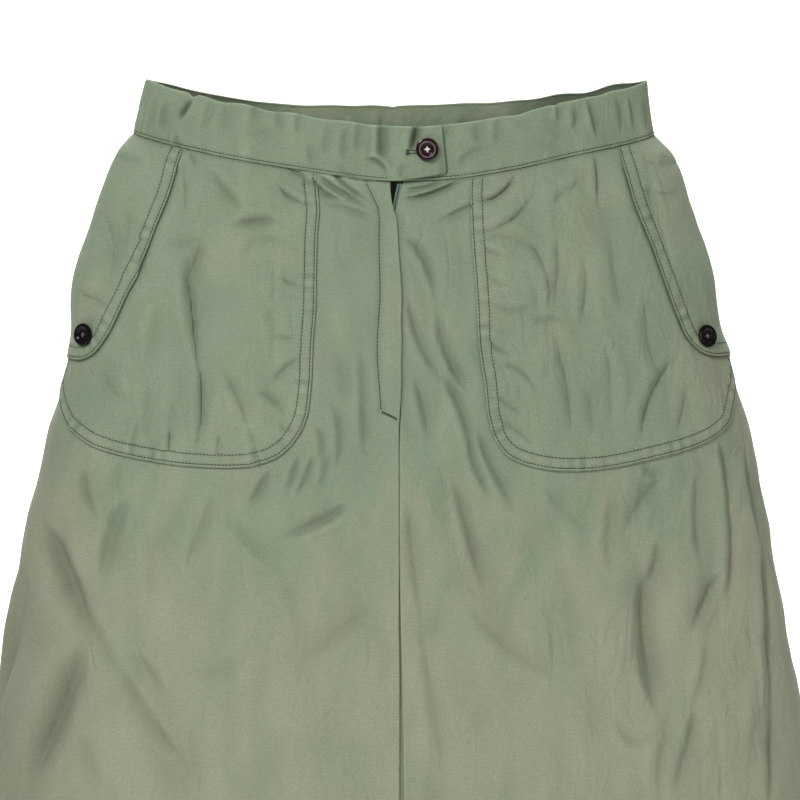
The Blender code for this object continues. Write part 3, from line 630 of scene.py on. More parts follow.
def group_of_nodes(name, inputs, outputs):
    """A new shader group with named inputs and outputs; gives the group, what comes into it
    and its end node."""
    group = bpy.data.node_groups.new(name, "ShaderNodeTree")
    for label, kind, value in inputs:
        socket = group.interface.new_socket(label, in_out="INPUT", socket_type="NodeSocket" + kind)
        if value is not None:
            socket.default_value = value
    for label, kind in outputs:
        group.interface.new_socket(label, in_out="OUTPUT", socket_type="NodeSocket" + kind)
    return group, group.nodes.new("NodeGroupInput").outputs, group.nodes.new("NodeGroupOutput")


def plain_weave():
    """The group for a plain weave: fine warp threads over and under thicker weft ones."""
    group, given, result = group_of_nodes(
        "Plain weave",
        [
            ("Vector", "Vector", None),
            ("Warp per metre", "Float", 2600.0),
            ("Weft per metre", "Float", 1900.0),
        ],
        [("Height", "Float"), ("Slub", "Float"), ("Speckle", "Float")],
    )
    count = add_node(group, "CombineXYZ", {"X": given["Warp per metre"],
                                           "Y": given["Weft per metre"]})
    threads = add_node(group, "VectorMath", {0: given["Vector"], 1: count.outputs[0]},
                       operation="MULTIPLY").outputs[0]
    warp, weft = [add_node(group, "TexWave", {"Vector": threads, "Scale": 0.314},
                           bands_direction=axis).outputs["Fac"] for axis in "XY"]
    over = add_node(group, "TexChecker", {"Vector": threads, "Scale": 1.0}).outputs["Fac"]
    woven = add_node(group, "Mix", {"Factor": over, "A": warp, "B": weft})
    along = stretched(group, given["Vector"], (160.0, 1100.0, 1.0))
    feed(group, result, {
        "Height": woven.outputs["Result"],
        "Slub": noise(group, along, scale=1.0, detail=2.0),
        "Speckle": noise(group, given["Vector"], scale=780.0, detail=2.0, roughness=0.75),
    })
    return group


CRINKLES = (
    # waves per metre across and down the cloth, turn, share
    ((36.0, 12.0), 0.20, 1.0),
    ((62.0, 32.0), -0.65, 0.6),
    ((170.0, 90.0), 0.15, 0.10),
)
CRINKLE_SOFTNESS = 0.07
CRINKLE_DEPTH = 0.0040
WEAVE_DEPTH = 0.00003


def crinkles():
    """The group for the fine creases of worn cotton: crisp, longer down the cloth than across
    it, and gathered in patches."""
    group, given, result = group_of_nodes(
        "Crinkles", [("Vector", "Vector", None)], [("Height", "Float")])
    total = 0.0
    for size, turn, share in CRINKLES:
        place = stretched(group, given["Vector"], (*size, 1.0), turn)
        middle = calc(group, "SUBTRACT", noise(group, place, scale=1.0, detail=1.0, distortion=1.2),
                      0.5)
        crease = calc(group, "SMOOTH_MAX", middle, calc(group, "MULTIPLY", middle, -1.0),
                      CRINKLE_SOFTNESS)
        total = calc(group, "ADD", total, calc(group, "MULTIPLY", crease, share))
    cloud = noise(group, given["Vector"], scale=15.0, detail=1.0)
    patches = ranged(group, cloud, (0.38, 0.60, 0.25, 1.0))
    feed(group, result, {"Height": calc(group, "MULTIPLY", total, patches)})
    return group


def shot_cloth():
    """The group for shot cloth: two thread colours whose balance drifts over the garment, from
    the warp's at the front of the hips to the weft's below, at the sides and behind. The weft is
    paler as well as warmer, which paints light onto the lower skirt, and the sides get painted
    shade. A positive attribute value mixes in the pale colour of wear and painted highlights,
    a negative one the colour of painted shade."""
    group, given, result = group_of_nodes(
        "Shot cloth",
        [
            ("Place", "Vector", None),
            ("Slub", "Float", 0.5),
            ("Speckle", "Float", 0.5),
            ("Wear and painted light", "Float", 0.0),
            ("Warp colour", "Color", (0.2, 0.3, 0.2, 1.0)),
            ("Weft colour", "Color", (0.3, 0.3, 0.2, 1.0)),
            ("Worn and highlight colour", "Color", (0.4, 0.4, 0.3, 1.0)),
            ("Painted shade colour", "Color", (0.1, 0.1, 0.1, 1.0)),
        ],
        [("Color", "Color")],
    )
    place = add_node(group, "SeparateXYZ", {"Vector": given["Place"]}).outputs
    # towards the weft below the hips: its warmer hue is the cloth's, its greater paleness is
    # painted light on the lower skirt
    lower = ranged(group, place["Z"], (-0.19, -0.40, 0.0, 0.85), "SMOOTHSTEP")
    wide = ranged(group, calc(group, "ABSOLUTE", place["X"]), (0.15, 0.25, 0.0, 0.45), "SMOOTHSTEP")
    behind = ranged(group, place["Y"], (0.0, 0.05, 0.0, 0.4), "SMOOTHSTEP")
    cloud = noise(group, stretched(group, given["Place"], (34.0, 34.0, 13.0)),
                  scale=1.0, detail=4.0, distortion=0.6)
    drift = ranged(group, cloud, (0.35, 0.65, -0.36, 0.36))
    balance = calc(group, "ADD", lower, calc(group, "ADD", wide, behind))
    balance = calc(group, "ADD", balance, drift, clamp=True)
    blend = two_colours(group, balance, given["Warp colour"], given["Weft colour"])
    slub = ranged(group, given["Slub"], (0.3, 0.7, 0.95, 1.05))
    fleck = ranged(group, given["Speckle"], (0.3, 0.7, 0.86, 1.14))
    # painted shade towards the sides, where the skirt turns away from the light, a little more on
    # the wearer's right
    far_round = calc(group, "ABSOLUTE", calc(group, "SUBTRACT", place["X"], 0.02))
    turned = ranged(group, far_round, (0.20, 0.30, 1.0, 0.73), "SMOOTHSTEP")
    grain = calc(group, "MULTIPLY", calc(group, "MULTIPLY", slub, fleck), turned)
    tone = add_node(group, "VectorMath", {0: blend, "Scale": grain}, operation="SCALE").outputs[0]
    # a positive value mixes in the pale colour of wear and painted highlights, a negative one the
    # colour of painted shade
    painted_and_worn = calc(group, "MAXIMUM", given["Wear and painted light"], 0.0)
    painted_shade_share = calc(group, "MULTIPLY", given["Wear and painted light"], -1.0, clamp=True)
    worn_and_lit = two_colours(group, painted_and_worn, tone, given["Worn and highlight colour"])
    feed(group, result, {"Color": two_colours(group, painted_shade_share, worn_and_lit, given["Painted shade colour"])})
    return group


plain_weave_group = plain_weave()
crinkles_group = crinkles()
shot_cloth_group = shot_cloth()


def woven_place(tree, shade):
    """The place on the flat cloth, and the wear and painted light kept in one of its attributes."""
    return (add_node(tree, "UVMap", uv_map="cloth").outputs["UV"],
            add_node(tree, "Attribute", attribute_name=shade).outputs["Fac"])


def poplin(name, warp, weft, worn_and_lit, deep, shade="wear_and_painted_light"):
    """Sage poplin: plain weave in two thread colours, paler on worn edges, with painted
    highlight on its ridges and painted shade in its creases, along its seams and under laps."""
    material, tree, shader = new_material(name)
    flat, wear_and_painted_light = woven_place(tree, shade)
    weave = add_node(tree, "Group", node_tree=plain_weave_group)
    feed(tree, weave, {"Vector": flat})
    colour = add_node(tree, "Group", node_tree=shot_cloth_group)
    feed(tree, colour, {
        "Place": object_place(tree), "Slub": weave.outputs["Slub"],
        "Speckle": weave.outputs["Speckle"], "Wear and painted light": wear_and_painted_light, "Warp colour": warp,
        "Weft colour": weft, "Worn and highlight colour": worn_and_lit, "Painted shade colour": deep})
    bump = add_node(tree, "Bump", {"Height": weave.outputs["Height"], "Strength": 0.5,
                                   "Distance": WEAVE_DEPTH})
    worn_in = add_node(tree, "Group", node_tree=crinkles_group)
    feed(tree, worn_in, {"Vector": flat})
    soft = add_node(tree, "Bump", {
        "Height": worn_in.outputs["Height"], "Normal": bump.outputs["Normal"],
        "Strength": 1.0, "Distance": CRINKLE_DEPTH})
    feed(tree, shader, {
        "Base Color": colour.outputs["Color"], "Normal": soft.outputs["Normal"],
        "Roughness": 0.68, "Sheen Weight": 0.10, "Sheen Roughness": 0.45,
        "Specular IOR Level": 0.35})
    return material


# warp, weft and worn colours: the weft is paler as well as warmer, which paints light onto the
# lower skirt, and the worn colour also serves for painted highlights
SAGE = ((0.206, 0.265, 0.172), (0.290, 0.300, 0.205), (0.31, 0.37, 0.27))
# the colour of painted shade in creases, along seams and under laps
SAGE_PAINTED_SHADE = (0.085, 0.105, 0.062)
# the wrong side is a darker copy of the same cloth: painted shade on the skirt's inside, which
# makes it look dark through the zip's gap
INSIDE_SHADE = 0.34
INSIDE_PAINTED_SHADE_COLOUR = (0.002, 0.003, 0.002)
sage_poplin = poplin("Sage poplin", *SAGE, SAGE_PAINTED_SHADE)
sage_inside_painted_shade = poplin("Sage poplin inside painted shade", *[darker(colour, INSIDE_SHADE) for colour in SAGE],
                     INSIDE_PAINTED_SHADE_COLOUR, shade="inner_painted_shade")


def as_object(name, mesh, *materials):
    """The object made from a finished mesh, in its materials."""
    data = bpy.data.meshes.new(name)
    mesh.to_mesh(data)
    mesh.free()
    for material in materials:
        data.materials.append(material)
    piece = bpy.data.objects.new(name, data)
    bpy.context.scene.collection.objects.link(piece)
    return piece


def cloth_piece(name, mesh, points, flat, wall, material, wear_and_painted_light, inside=None, inner_painted_shade=None):
    """Finishes a piece of cloth: its points in place, the flat pattern as its UV map, its wear
    and painted light and its wrong side's painted shade as attributes, its thickness inwards
    from its outer face, its wrong side, and its ride on the one body."""
    uv = mesh.loops.layers.uv.new("cloth")
    painted_and_worn = mesh.verts.layers.float.new("wear_and_painted_light")
    painted_inside_shade = mesh.verts.layers.float.new("inner_painted_shade")
    mesh.verts.ensure_lookup_table()
    for number, vert in enumerate(mesh.verts):
        vert.co = Vector(points[number]) * MM
        vert[painted_and_worn] = wear_and_painted_light[number]
        if inner_painted_shade is not None:
            vert[painted_inside_shade] = inner_painted_shade[number]
    for face in mesh.faces:
        face.smooth = True
        for loop in face.loops:
            loop[uv].uv = Vector(flat[loop.vert.index]) * MM
    piece = as_object(name, mesh, *([material, inside] if inside else [material]))
    solid = piece.modifiers.new("Wall", "SOLIDIFY")
    solid.thickness = wall * MM
    solid.offset = -1.0
    solid.material_offset = 1 if inside else 0
    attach(piece, "root")
    return piece


def grid_of(across, down):
    """A flat grid, and the column and row number of each of its points."""
    mesh = bmesh.new()
    bmesh.ops.create_grid(mesh, x_segments=across, y_segments=down, size=0.5)
    mesh.verts.index_update()
    places = np.array([vert.co[:2] for vert in mesh.verts]) + 0.5
    column, row = np.rint(places * (across, down)).astype(int).T
    return mesh, column, row


COARSE = 1.0
SHELL = 0.6
LAP_RISE = 1.5
LAP_FLAT = 7.0
LAP_WIDTH = 13.0
LAP_FADE = 28.0
FLY_END = -200.0
SEAM_END = -300.0
RIGHT_EDGE = (
    # height, girth of the edge
    (HEM, 1.0),
    (-460.0, 1.5),
    (SEAM_END, 1.5),
    (-250.0, 0.4),
    (-212.0, -0.6),
    (FLY_END, 0.4),
    (-178.0, 2.6),
    (-155.0, 5.3),
    (-127.0, 5.3),
    (-88.0, 3.1),
    (-75.0, 1.8),
    (-64.0, -1.4),
    (-49.0, -2.6),
)
FLY_STITCH = (
    # girth, height
    (-18.6, -50.4),
    (-15.0, -56.6),
    (-11.1, -66.4),
    (-9.9, -74.0),
    (-9.7, -88.0),
    (-9.3, -127.5),
    (-11.4, -160.0),
    (-12.7, -180.0),
    (-12.1, -199.5),
)
NEAR_EDGE = 18.0
near_columns = np.concatenate([
    [0.0, 0.4, 0.9, 1.5], np.arange(2.4, NEAR_EDGE, 1.1 * COARSE), [NEAR_EDGE]])
FRONT_WIDTH = 275.0
WIDE_STEP = 2.1 * COARSE
far_columns = np.arange(NEAR_EDGE + WIDE_STEP, FRONT_WIDTH, WIDE_STEP)
front_columns = np.concatenate([near_columns, far_columns, [FRONT_WIDTH]])
SEEN_BOTTOM = -480.0
CLOSE_TOP = -48.0
front_rows = np.concatenate([
    np.arange(HEM, SEEN_BOTTOM, 4.0 * COARSE), np.arange(SEEN_BOTTOM, CLOSE_TOP, 2.15 * COARSE),
    np.arange(CLOSE_TOP, TOP_LEVEL - 0.5, 0.9 * COARSE), [TOP_LEVEL]])
HEM_TURN = 20.0
HEM_ROW_DEPTH = 0.5
SEAM_PUCKER = 0.30
SEAM_PUCKER_FADE = 7.0
SEAM_DIP = 0.6
ROW_WIDTH = 1.6
EDGE_DIP = 0.45
FLY_ROW_DEPTH = 0.45
FLY_ROW_TONE = 0.25
EDGE_WEAR = 0.35
EDGE_WEAR_WIDTH = 0.8


def edge_girth(edge, high):
    """The girth of a front edge at a height."""
    rows = np.array(edge)
    return np.interp(high, rows[:, 0], rows[:, 1])


def front_angle(side, edge, column, level):
    """The angle of a front's column: close columns keep their distance from the edge, and the
    others share what is left of the way to the side seam."""
    start = edge_girth(edge, height(0 * level, level)) + side * np.minimum(column, NEAR_EDGE)
    last = girth(side * (SIDE_SEAM - SIDE_GAP + 0 * level), level)
    share = np.clip((column - NEAR_EDGE) / (FRONT_WIDTH - NEAR_EDGE), 0.0, 1.0)
    return angle_at(start + (last - start) * share, level)


def lap(distance, high):
    """How far the fly of the wearer's right front stands out over the left front."""
    inside = edge_girth(RIGHT_EDGE, high) - distance
    near = ease((LAP_WIDTH - inside) / (LAP_WIDTH - LAP_FLAT))
    return LAP_RISE * near * ease((high - FLY_END + 40.0) / LAP_FADE)


def sewn_across(distance, level, phase):
    """The relief of the row of stitches at the hem and of the puckers below the waist seam."""
    hem_row = HEM_ROW_DEPTH * bell(level - HEM - HEM_TURN, ROW_WIDTH)
    fading = np.exp((level - TOP_LEVEL) / SEAM_PUCKER_FADE)
    return SEAM_PUCKER * pucker(0.7 * distance, phase) * fading - hem_row


def seam_relief(distance, level, inside):
    """The dips that a front's turned edge, its hem row and its waist seam press into it."""
    dip = SEAM_DIP * bell(TOP_LEVEL - level, ROW_WIDTH) + EDGE_DIP * (1 - ease(inside / 0.9))
    return sewn_across(distance, level, 0.3) - dip


def right_front(distance, angle, level):
    """The outer face of the wearer's right front."""
    high = height(angle, level)
    inside = edge_girth(RIGHT_EDGE, high) - distance
    fly_row = FLY_ROW_DEPTH * bell(near_line(distance, high, FLY_STITCH)[0], 1.3)
    relief = lap(distance, high) + seam_relief(distance, level, inside) - fly_row
    return skirt_point(angle, level, relief)


def fly_row_painted_shade(distance, high):
    """The painted shade along the fly's row of stitches."""
    return FLY_ROW_TONE * bell(near_line(distance, high, FLY_STITCH)[0], 2.2)


def front(name, node, side, edge, place, shade):
    """Builds a front from its own edge to the side seam, on its place function and with its
    painted shade, and lays it flat."""
    mesh, column, row = grid_of(len(front_columns) - 1, len(front_rows) - 1)
    level = front_rows[row]
    inside = front_columns[::side][column]
    angle = front_angle(side, edge, inside, level)
    distance = girth(angle, level)
    wear_and_painted_light = painted_cloth_tone(angle, level) + EDGE_WEAR * np.exp(-inside / EDGE_WEAR_WIDTH)
    wear_and_painted_light = wear_and_painted_light - shade(distance, height(angle, level))
    piece = cloth_piece(name, mesh, place(distance, angle, level),
                        np.stack([distance, level], axis=-1), SHELL, sage_poplin, wear_and_painted_light, sage_inside_painted_shade)
    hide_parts(node)


front("Front_right", "front_right", -1, RIGHT_EDGE, right_front, fly_row_painted_shade)


# Front, wearer's left: the same cut. Its edge carries the zip under the other front's lap, and
# at the top it falls away from the lap, so that the zip shows in the gap.
LEFT_EDGE = (
    # height, girth of the edge
    (HEM, 6.5),
    (-460.0, 4.6),
    (SEAM_END, 1.8),
    (-250.0, 0.7),
    (-212.0, -0.3),
    (FLY_END, 0.7),
    (-178.0, -2.6),
    (-90.0, -2.6),
    (-76.0, -1.6),
    (-64.0, 2.4),
    (-49.0, 6.4),
)
LAP_SHADE = 0.75
LAP_SHADE_WIDTH = 1.5
LAP_SHADE_FADE = 12.0


def left_front(distance, angle, level):
    """The outer face of the wearer's left front."""
    inside = distance - edge_girth(LEFT_EDGE, height(angle, level))
    return skirt_point(angle, level, seam_relief(distance, level, inside))


def lap_shade(distance, high):
    """The painted shadow of the other front's lap."""
    under = np.clip(distance - edge_girth(RIGHT_EDGE, high), 0.0, None)
    fading = ease((high - FLY_END + LAP_SHADE_FADE) / LAP_SHADE_FADE)
    return LAP_SHADE * np.exp(-under / LAP_SHADE_WIDTH) * fading


front("Front_left", "front_left", 1, LEFT_EDGE, left_front, lap_shade)


# Back: one plain panel with a short dart each side of the middle, sewn to the fronts at the
# side seams.
DARTS = (
    # girth and height of the dart's top, then of its point
    (398.0, -34.0, 430.0, -142.0),
    (-398.0, -34.0, -430.0, -142.0),
)
DART_DEPTH = 1.1
DART_WIDTH = 1.8
BACK_INSIDE_PAINTED_SHADE = 0.96
BACK_INSIDE_PAINTED_SHADE_WIDTH = 60.0
BACK_WIDTH = 550.0
BACK_MIDDLE = 179.99
BACK_STEP = 3.2 * COARSE
back_columns = int(BACK_WIDTH / BACK_STEP)
back_rows = np.append(np.arange(HEM, TOP_LEVEL - 1.0, 3.6 * COARSE), TOP_LEVEL)


def back_face(distance, angle, level):
    """The outer face of the back."""
    high = height(angle, level)
    dip = sewn_across(distance, level, 1.9)
    for u1, z1, u2, z2 in DARTS:
        away, along = near_line(distance, high, ((u1, z1), (u2, z2)))
        shrinking = 1 - along / math.hypot(u2 - u1, z2 - z1)
        dip = dip - DART_DEPTH * bell(away, DART_WIDTH) * shrinking
    return skirt_point(angle, level, dip)


mesh, column, row = grid_of(back_columns, len(back_rows) - 1)
level = back_rows[row]
share = 2 * column / back_columns - 1
side = np.where(share <= 0, 1.0, -1.0)
seam = girth(SIDE_SEAM + SIDE_GAP + 0 * level, level)
middle = girth(BACK_MIDDLE + 0 * level, level)
distance = side * (seam + (middle - seam) * (1 - np.abs(share)))
angle = angle_at(distance, level)
angle = np.where(np.abs(share) < 1e-6, 180.0, angle)
flat = np.stack([np.where(side > 0, distance, 2 * middle + distance), level], axis=-1)
points = back_face(distance, angle, level)
# painted shade on the inside of the back, round its middle below the waistband, seen through the
# zip's gap
painted_inside_shade = -BACK_INSIDE_PAINTED_SHADE * np.exp(-((points[:, 0] / BACK_INSIDE_PAINTED_SHADE_WIDTH) ** 4))
painted_inside_shade = painted_inside_shade * ease((-24.0 - points[:, 2]) / 22.0) * ease((points[:, 2] + 190.0) / 100.0)
back = cloth_piece("Back", mesh, points, flat, SHELL, sage_poplin, painted_cloth_tone(angle, level),
                   sage_inside_painted_shade, painted_inside_shade)
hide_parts("back")


# Zip: a short nylon zip, its teal tapes sewn inside the fly. The tapes part above the slider,
# and the left one, with its coil, shows in the gap below the tab.
TAPE_DEPTH = -1.5
TAPE_TOP = TOP_LEVEL - 1.0
TAPE_BOTTOM = -182.0
TAPE_WIDTH = 13.0
INNER_WALL = 0.5
TEETH_GIRTH = -2.2
TEETH_GAP = 0.6
TAPES_PART = -74.0
PARTING = 25.0


def teal_weave(name, colour):
    """Zip tape: a tight weave in one colour, with a painted shadow beside the coil."""
    material, tree, shader = new_material(name)
    flat, wear_and_painted_light = woven_place(tree, "wear_and_painted_light")
    weave = add_node(tree, "Group", node_tree=plain_weave_group)
    feed(tree, weave, {"Vector": flat, "Warp per metre": 1500.0, "Weft per metre": 1500.0})
    woven = two_colours(tree, weave.outputs["Height"], darker(colour, 0.6), colour)
    bump = add_node(tree, "Bump", {"Height": weave.outputs["Height"], "Strength": 0.6,
                                   "Distance": 0.00006})
    feed(tree, shader, {
        "Base Color": two_colours(tree, wear_and_painted_light, darker(colour, 0.12), woven),
        "Normal": bump.outputs["Normal"], "Roughness": 0.75})
    return material


def streaked(name, dark, pale, waves, looks, detail=2.0):
    """A smooth finish that drifts between two colours, with its waves per metre each way."""
    material, tree, shader = new_material(name)
    cloud = noise(tree, stretched(tree, object_place(tree), waves), scale=1.0, detail=detail)
    feed(tree, shader, {"Base Color": two_colours(tree, cloud, dark, pale), **looks})
    return material


COIL_COLOUR = (0.23, 0.38, 0.31)
teal_tape = teal_weave("Teal tape", (0.16, 0.25, 0.19))
teal_coil = streaked("Teal coil", darker(COIL_COLOUR, 0.7), COIL_COLOUR, (700.0,) * 3,
                     {"Roughness": 0.3})
TAPE_COLUMNS = 40
TAPE_ROWS = 60
COIL_THREAD = 0.25
COIL_STEPS = 8
THREAD_SIDES = 6
COIL_RADIUS = 0.45
COIL_PITCH = 1.1


def round_thread(rows, line, up, radius):
    """Adds a round thread along a line of points, with its own radius at each."""
    across = np.cross(up, np.gradient(line, axis=0))
    across /= np.linalg.norm(across, axis=-1, keepdims=True)
    mesh, column, row = grid_of(THREAD_SIDES, len(line) - 1)
    turn = 2 * math.pi * column / THREAD_SIDES
    round_it = across[row] * np.cos(turn)[:, None] + up[row] * np.sin(turn)[:, None]
    place = line[row] + round_it * radius[row][:, None]
    for vert, point in zip(mesh.verts, place):
        vert.co = Vector(point) * MM
    bmesh.ops.remove_doubles(mesh, verts=mesh.verts, dist=0.001 * MM)
    row_mesh = bpy.data.meshes.new("Row")
    mesh.to_mesh(row_mesh)
    mesh.free()
    rows.from_mesh(row_mesh)
    bpy.data.meshes.remove(row_mesh)


def thread_piece(name, mesh, material):
    """The finished threads of one piece, joined."""
    for face in mesh.faces:
        face.smooth = True
    piece = as_object(name, mesh, material)
    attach(piece, "root")


def tape_teeth(side, opening, high):
    """The girth of a tape's toothed edge at a height."""
    parted = opening * ease((high - TAPES_PART) / PARTING)
    return TEETH_GIRTH + side * (TEETH_GAP / 2 + parted)


def zip_tape(name, node, side, opening):
    """A zip tape, from its toothed edge to its sewn edge."""
    mesh, column, row = grid_of(TAPE_COLUMNS, TAPE_ROWS)
    level = TAPE_BOTTOM + (TAPE_TOP - TAPE_BOTTOM) * row / TAPE_ROWS
    teeth = tape_teeth(side, opening, height(0 * level, level))
    share = column / TAPE_COLUMNS if side > 0 else 1 - column / TAPE_COLUMNS
    distance = teeth + (TEETH_GIRTH + side * TAPE_WIDTH - teeth) * share
    angle = angle_at(distance, level)
    from_coil = side * (distance - teeth) - COIL_RADIUS
    # the strip of tape beside the coil gets the painted shadow
    piece = cloth_piece(name, mesh, skirt_point(angle, level, TAPE_DEPTH),
                        np.stack([distance, level], axis=-1), INNER_WALL, teal_tape,
                        ease((from_coil - 1.1) / 0.4))
    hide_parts(node)
    level = np.arange(TAPE_BOTTOM, TAPE_TOP, COIL_PITCH / COIL_STEPS)
    middle = tape_teeth(side, opening, height(0 * level, level)) + side * COIL_RADIUS
    turn = 2 * math.pi * level / COIL_PITCH
    angle = angle_at(middle + COIL_RADIUS * np.cos(turn), level)
    line = skirt_point(angle, level, TAPE_DEPTH + COIL_RADIUS * (0.9 + 0.7 * np.sin(turn)))
    coil = bmesh.new()
    round_thread(coil, line, np.tile([0.0, -1.0, 0.0], (len(line), 1)), COIL_THREAD + 0 * level)
    thread_piece(name.replace("tape", "coil"), coil, teal_coil)


zip_tape("Zip_tape_right", "zip_tape_right", -1, 2.2)
zip_tape("Zip_tape_left", "zip_tape_left", 1, 4.2)


# Patch pockets: poplin with a turned edge, sewn down with two rows of stitches from the waist
# seam round to the side seam. Each is open above, under its flap.
LAYER_GAP = 0.4
PATCH_WALL = 1.0
POCKET_OUT = LAYER_GAP + PATCH_WALL
POCKET_RIGHT = (
    # girth, height
    (-51.8, -42.0),
    (-49.4, -68.0),
    (-51.0, -105.0),
    (-52.0, -143.0),
    (-57.0, -181.0),
    (-61.5, -206.0),
    (-73.0, -225.0),
    (-90.0, -234.8),
    (-117.0, -238.0),
    (-160.0, -235.0),
    (-200.0, -227.6),
    (-227.0, -215.4),
    (-238.0, -204.0),
    (-247.0, -186.0),
)
POCKET_LEFT = (
    # girth, height
    (50.6, -45.0),
    (49.8, -63.0),
    (52.0, -98.0),
    (54.5, -135.0),
    (56.0, -173.0),
    (58.0, -205.0),
    (65.7, -224.0),
    (79.0, -234.0),
    (104.0, -239.6),
    (136.0, -239.0),
    (168.0, -233.2),
    (202.0, -225.0),
    (226.0, -212.8),
    (235.5, -198.0),
    (242.0, -176.0),
)
FLAP_RIGHT = (
    # girth, height
    (-141.4, -27.5),
    (-145.4, -42.0),
    (-153.3, -66.6),
    (-170.0, -106.0),
    (-187.0, -139.0),
    (-197.0, -154.0),
    (-208.5, -164.6),
    (-221.0, -169.0),
    (-236.0, -168.0),
)
FLAP_LEFT = (
    # girth, height
    (150.6, -26.5),
    (153.6, -42.0),
    (160.2, -62.0),
    (176.4, -103.0),
    (191.5, -139.4),
    (198.0, -154.0),
    (207.0, -163.2),
    (219.0, -166.6),
    (234.0, -166.6),
)
MOUTH_RIGHT = ((163.0, -20.0), (200.0, -100.0), (230.0, -150.0))
MOUTH_LEFT = ((171.0, -20.0), (200.0, -100.0), (230.0, -150.0))
ROW_OUTER = 1.7
ROW_INNER = 8.2
CELL = 1.4 * COARSE
BORDER_RINGS = (0.35, 0.45, 0.5, 0.6, 0.7)
TOP_TRIM = 0.9
SIDE_TRIM = 0.1
LINE_POINTS = 40
POCKET_STEP = 2.2
LAYER_SHADE = 0.8
LAYER_SHADE_WIDTH = 1.7
PRESSED_FLAT = 0.2
PRESSED_FADE = 14.0
EDGE_ROLL = 0.55
ROW_DEPTH = 0.4
TURNING_RISE = 0.25
PUCKER_RISE = 0.65
# painted highlight on the turned edge's roll, painted shade along its rows and in its pucker
# hollows
ROLL_TONE = 0.25
ROW_TONE = 0.22
PUCKER_TONE = 0.34


def smooth_line(points, spacing):
    """Points at an even spacing on a smooth curve through a line's own points."""
    points = np.array(points, dtype=float)
    slope = np.gradient(points, axis=0)
    t = np.linspace(0.0, 1.0, 12, endpoint=False)[:, None]
    curve = [curve_between(t, 1.0, points[row], slope[row], points[row + 1], slope[row + 1])
             for row in range(len(points) - 1)]
    return even_line(np.vstack([*curve, points[-1:]]), spacing)


def even_line(points, spacing):
    """The same line with its points at an even spacing."""
    walked = np.append(0.0, np.cumsum(np.hypot(*np.diff(points, axis=0).T)))
    stops = np.linspace(0.0, walked[-1], max(2, int(round(walked[-1] / spacing)) + 1))
    return np.stack([np.interp(stops, walked, points[:, axis]) for axis in (0, 1)], axis=-1)


def side_line(side, low, top):
    """The side seam from one height to another."""
    high = np.linspace(low, top, LINE_POINTS)
    angle = side * (SIDE_SEAM - SIDE_TRIM) + 0 * high
    level = high + high - height(angle, high)
    return np.stack([girth(angle, level), high], axis=-1)


def waist_line(first, last):
    """The top edge of a piece along the waist seam, from one girth to another."""
    distance = np.linspace(first, last, LINE_POINTS)
    level = TOP_LEVEL - TOP_TRIM + 0 * distance
    return np.stack([distance, height(angle_at(distance, level), level)], axis=-1)


def cut_out(outline, cell):
    """A flat piece of cloth cut to an outline, with a narrow border and square cells inside."""
    if np.sum(outline[:-1, 0] * outline[1:, 1] - outline[1:, 0] * outline[:-1, 1]) < 0:
        outline = outline[::-1]
    mesh = bmesh.new()
    face = mesh.faces.new([mesh.verts.new((u, z, 0.0)) for u, z in outline])
    for width in BORDER_RINGS:
        bmesh.ops.inset_individual(mesh, faces=[face], thickness=width, use_even_offset=False)
    for axis, direction in ((0, (1, 0, 0)), (1, (0, 1, 0))):
        for place in np.arange(outline[:, axis].min() + cell / 2, outline[:, axis].max(), cell):
            bmesh.ops.bisect_plane(
                mesh, geom=mesh.verts[:] + mesh.edges[:] + mesh.faces[:], dist=0.12,
                plane_co=[place * part for part in direction], plane_no=direction)
    mesh.verts.index_update()
    return mesh, np.array([vert.co[:2] for vert in mesh.verts])


def drawn_between(away, along, phase):
    """The puckers that lie between the two rows of stitches."""
    return pucker(along, phase) * bell(away - (ROW_OUTER + ROW_INNER) / 2, 5.0)


def sewn_edge(away, along, phase):
    """The relief of a turned edge with two rows of stitches, from the distance to the edge."""
    turned = -EDGE_ROLL * (1 - ease(away / 0.8))
    rows = ROW_DEPTH * (bell(away - ROW_OUTER, 0.8) + bell(away - ROW_INNER, 0.9))
    thick = TURNING_RISE * (1 - ease((away - ROW_INNER) / 3.0))
    return turned - rows + thick + PUCKER_RISE * drawn_between(away, along, phase)


def painted_edge_tone(away, along, phase, rim):
    """The painted tone of a sewn edge: painted shade at its rim, painted highlight on its roll,
    painted shade along its stitches and in the hollows between its puckers."""
    roll = ROLL_TONE * bell(away - 0.9, 0.5) - rim * bell(away, 0.5)
    rows = ROW_TONE * (bell(away - ROW_OUTER, 0.9) + bell(away - ROW_INNER, 1.1))
    return roll - rows + PUCKER_TONE * drawn_between(away, along, phase)


def patch_place(out, sewn, phase):
    """The outer face of a patch: its height over the front at any place."""

    def place(distance, high):
        away, along = near_line(distance, high, sewn)
        angle, level = spot(distance, high)
        pressed = PRESSED_FLAT + (1 - PRESSED_FLAT) * ease((TOP_LEVEL - level) / PRESSED_FADE)
        tucked = 0.5 * bell(TOP_LEVEL - level, 2.4)
        return skirt_point(angle, level, out * pressed - tucked + sewn_edge(away, along, phase))

    return place


def patch(name, node, outline, sewn, place, phase, rim, over=None):
    """A patch of cloth laid on a front, with the shadow of what lies over it painted in."""
    mesh, flat = cut_out(outline, CELL)
    away, along = near_line(*flat.T, sewn)
    wear_and_painted_light = painted_cloth_tone(*spot(*flat.T)) + painted_edge_tone(away, along, phase, rim)
    if over is not None:
        wear_and_painted_light = wear_and_painted_light - LAYER_SHADE * bell(near_line(*flat.T, over)[0], LAYER_SHADE_WIDTH)
    piece = cloth_piece(name, mesh, place(*flat.T), flat, SHELL, sage_poplin, wear_and_painted_light)
    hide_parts(node)


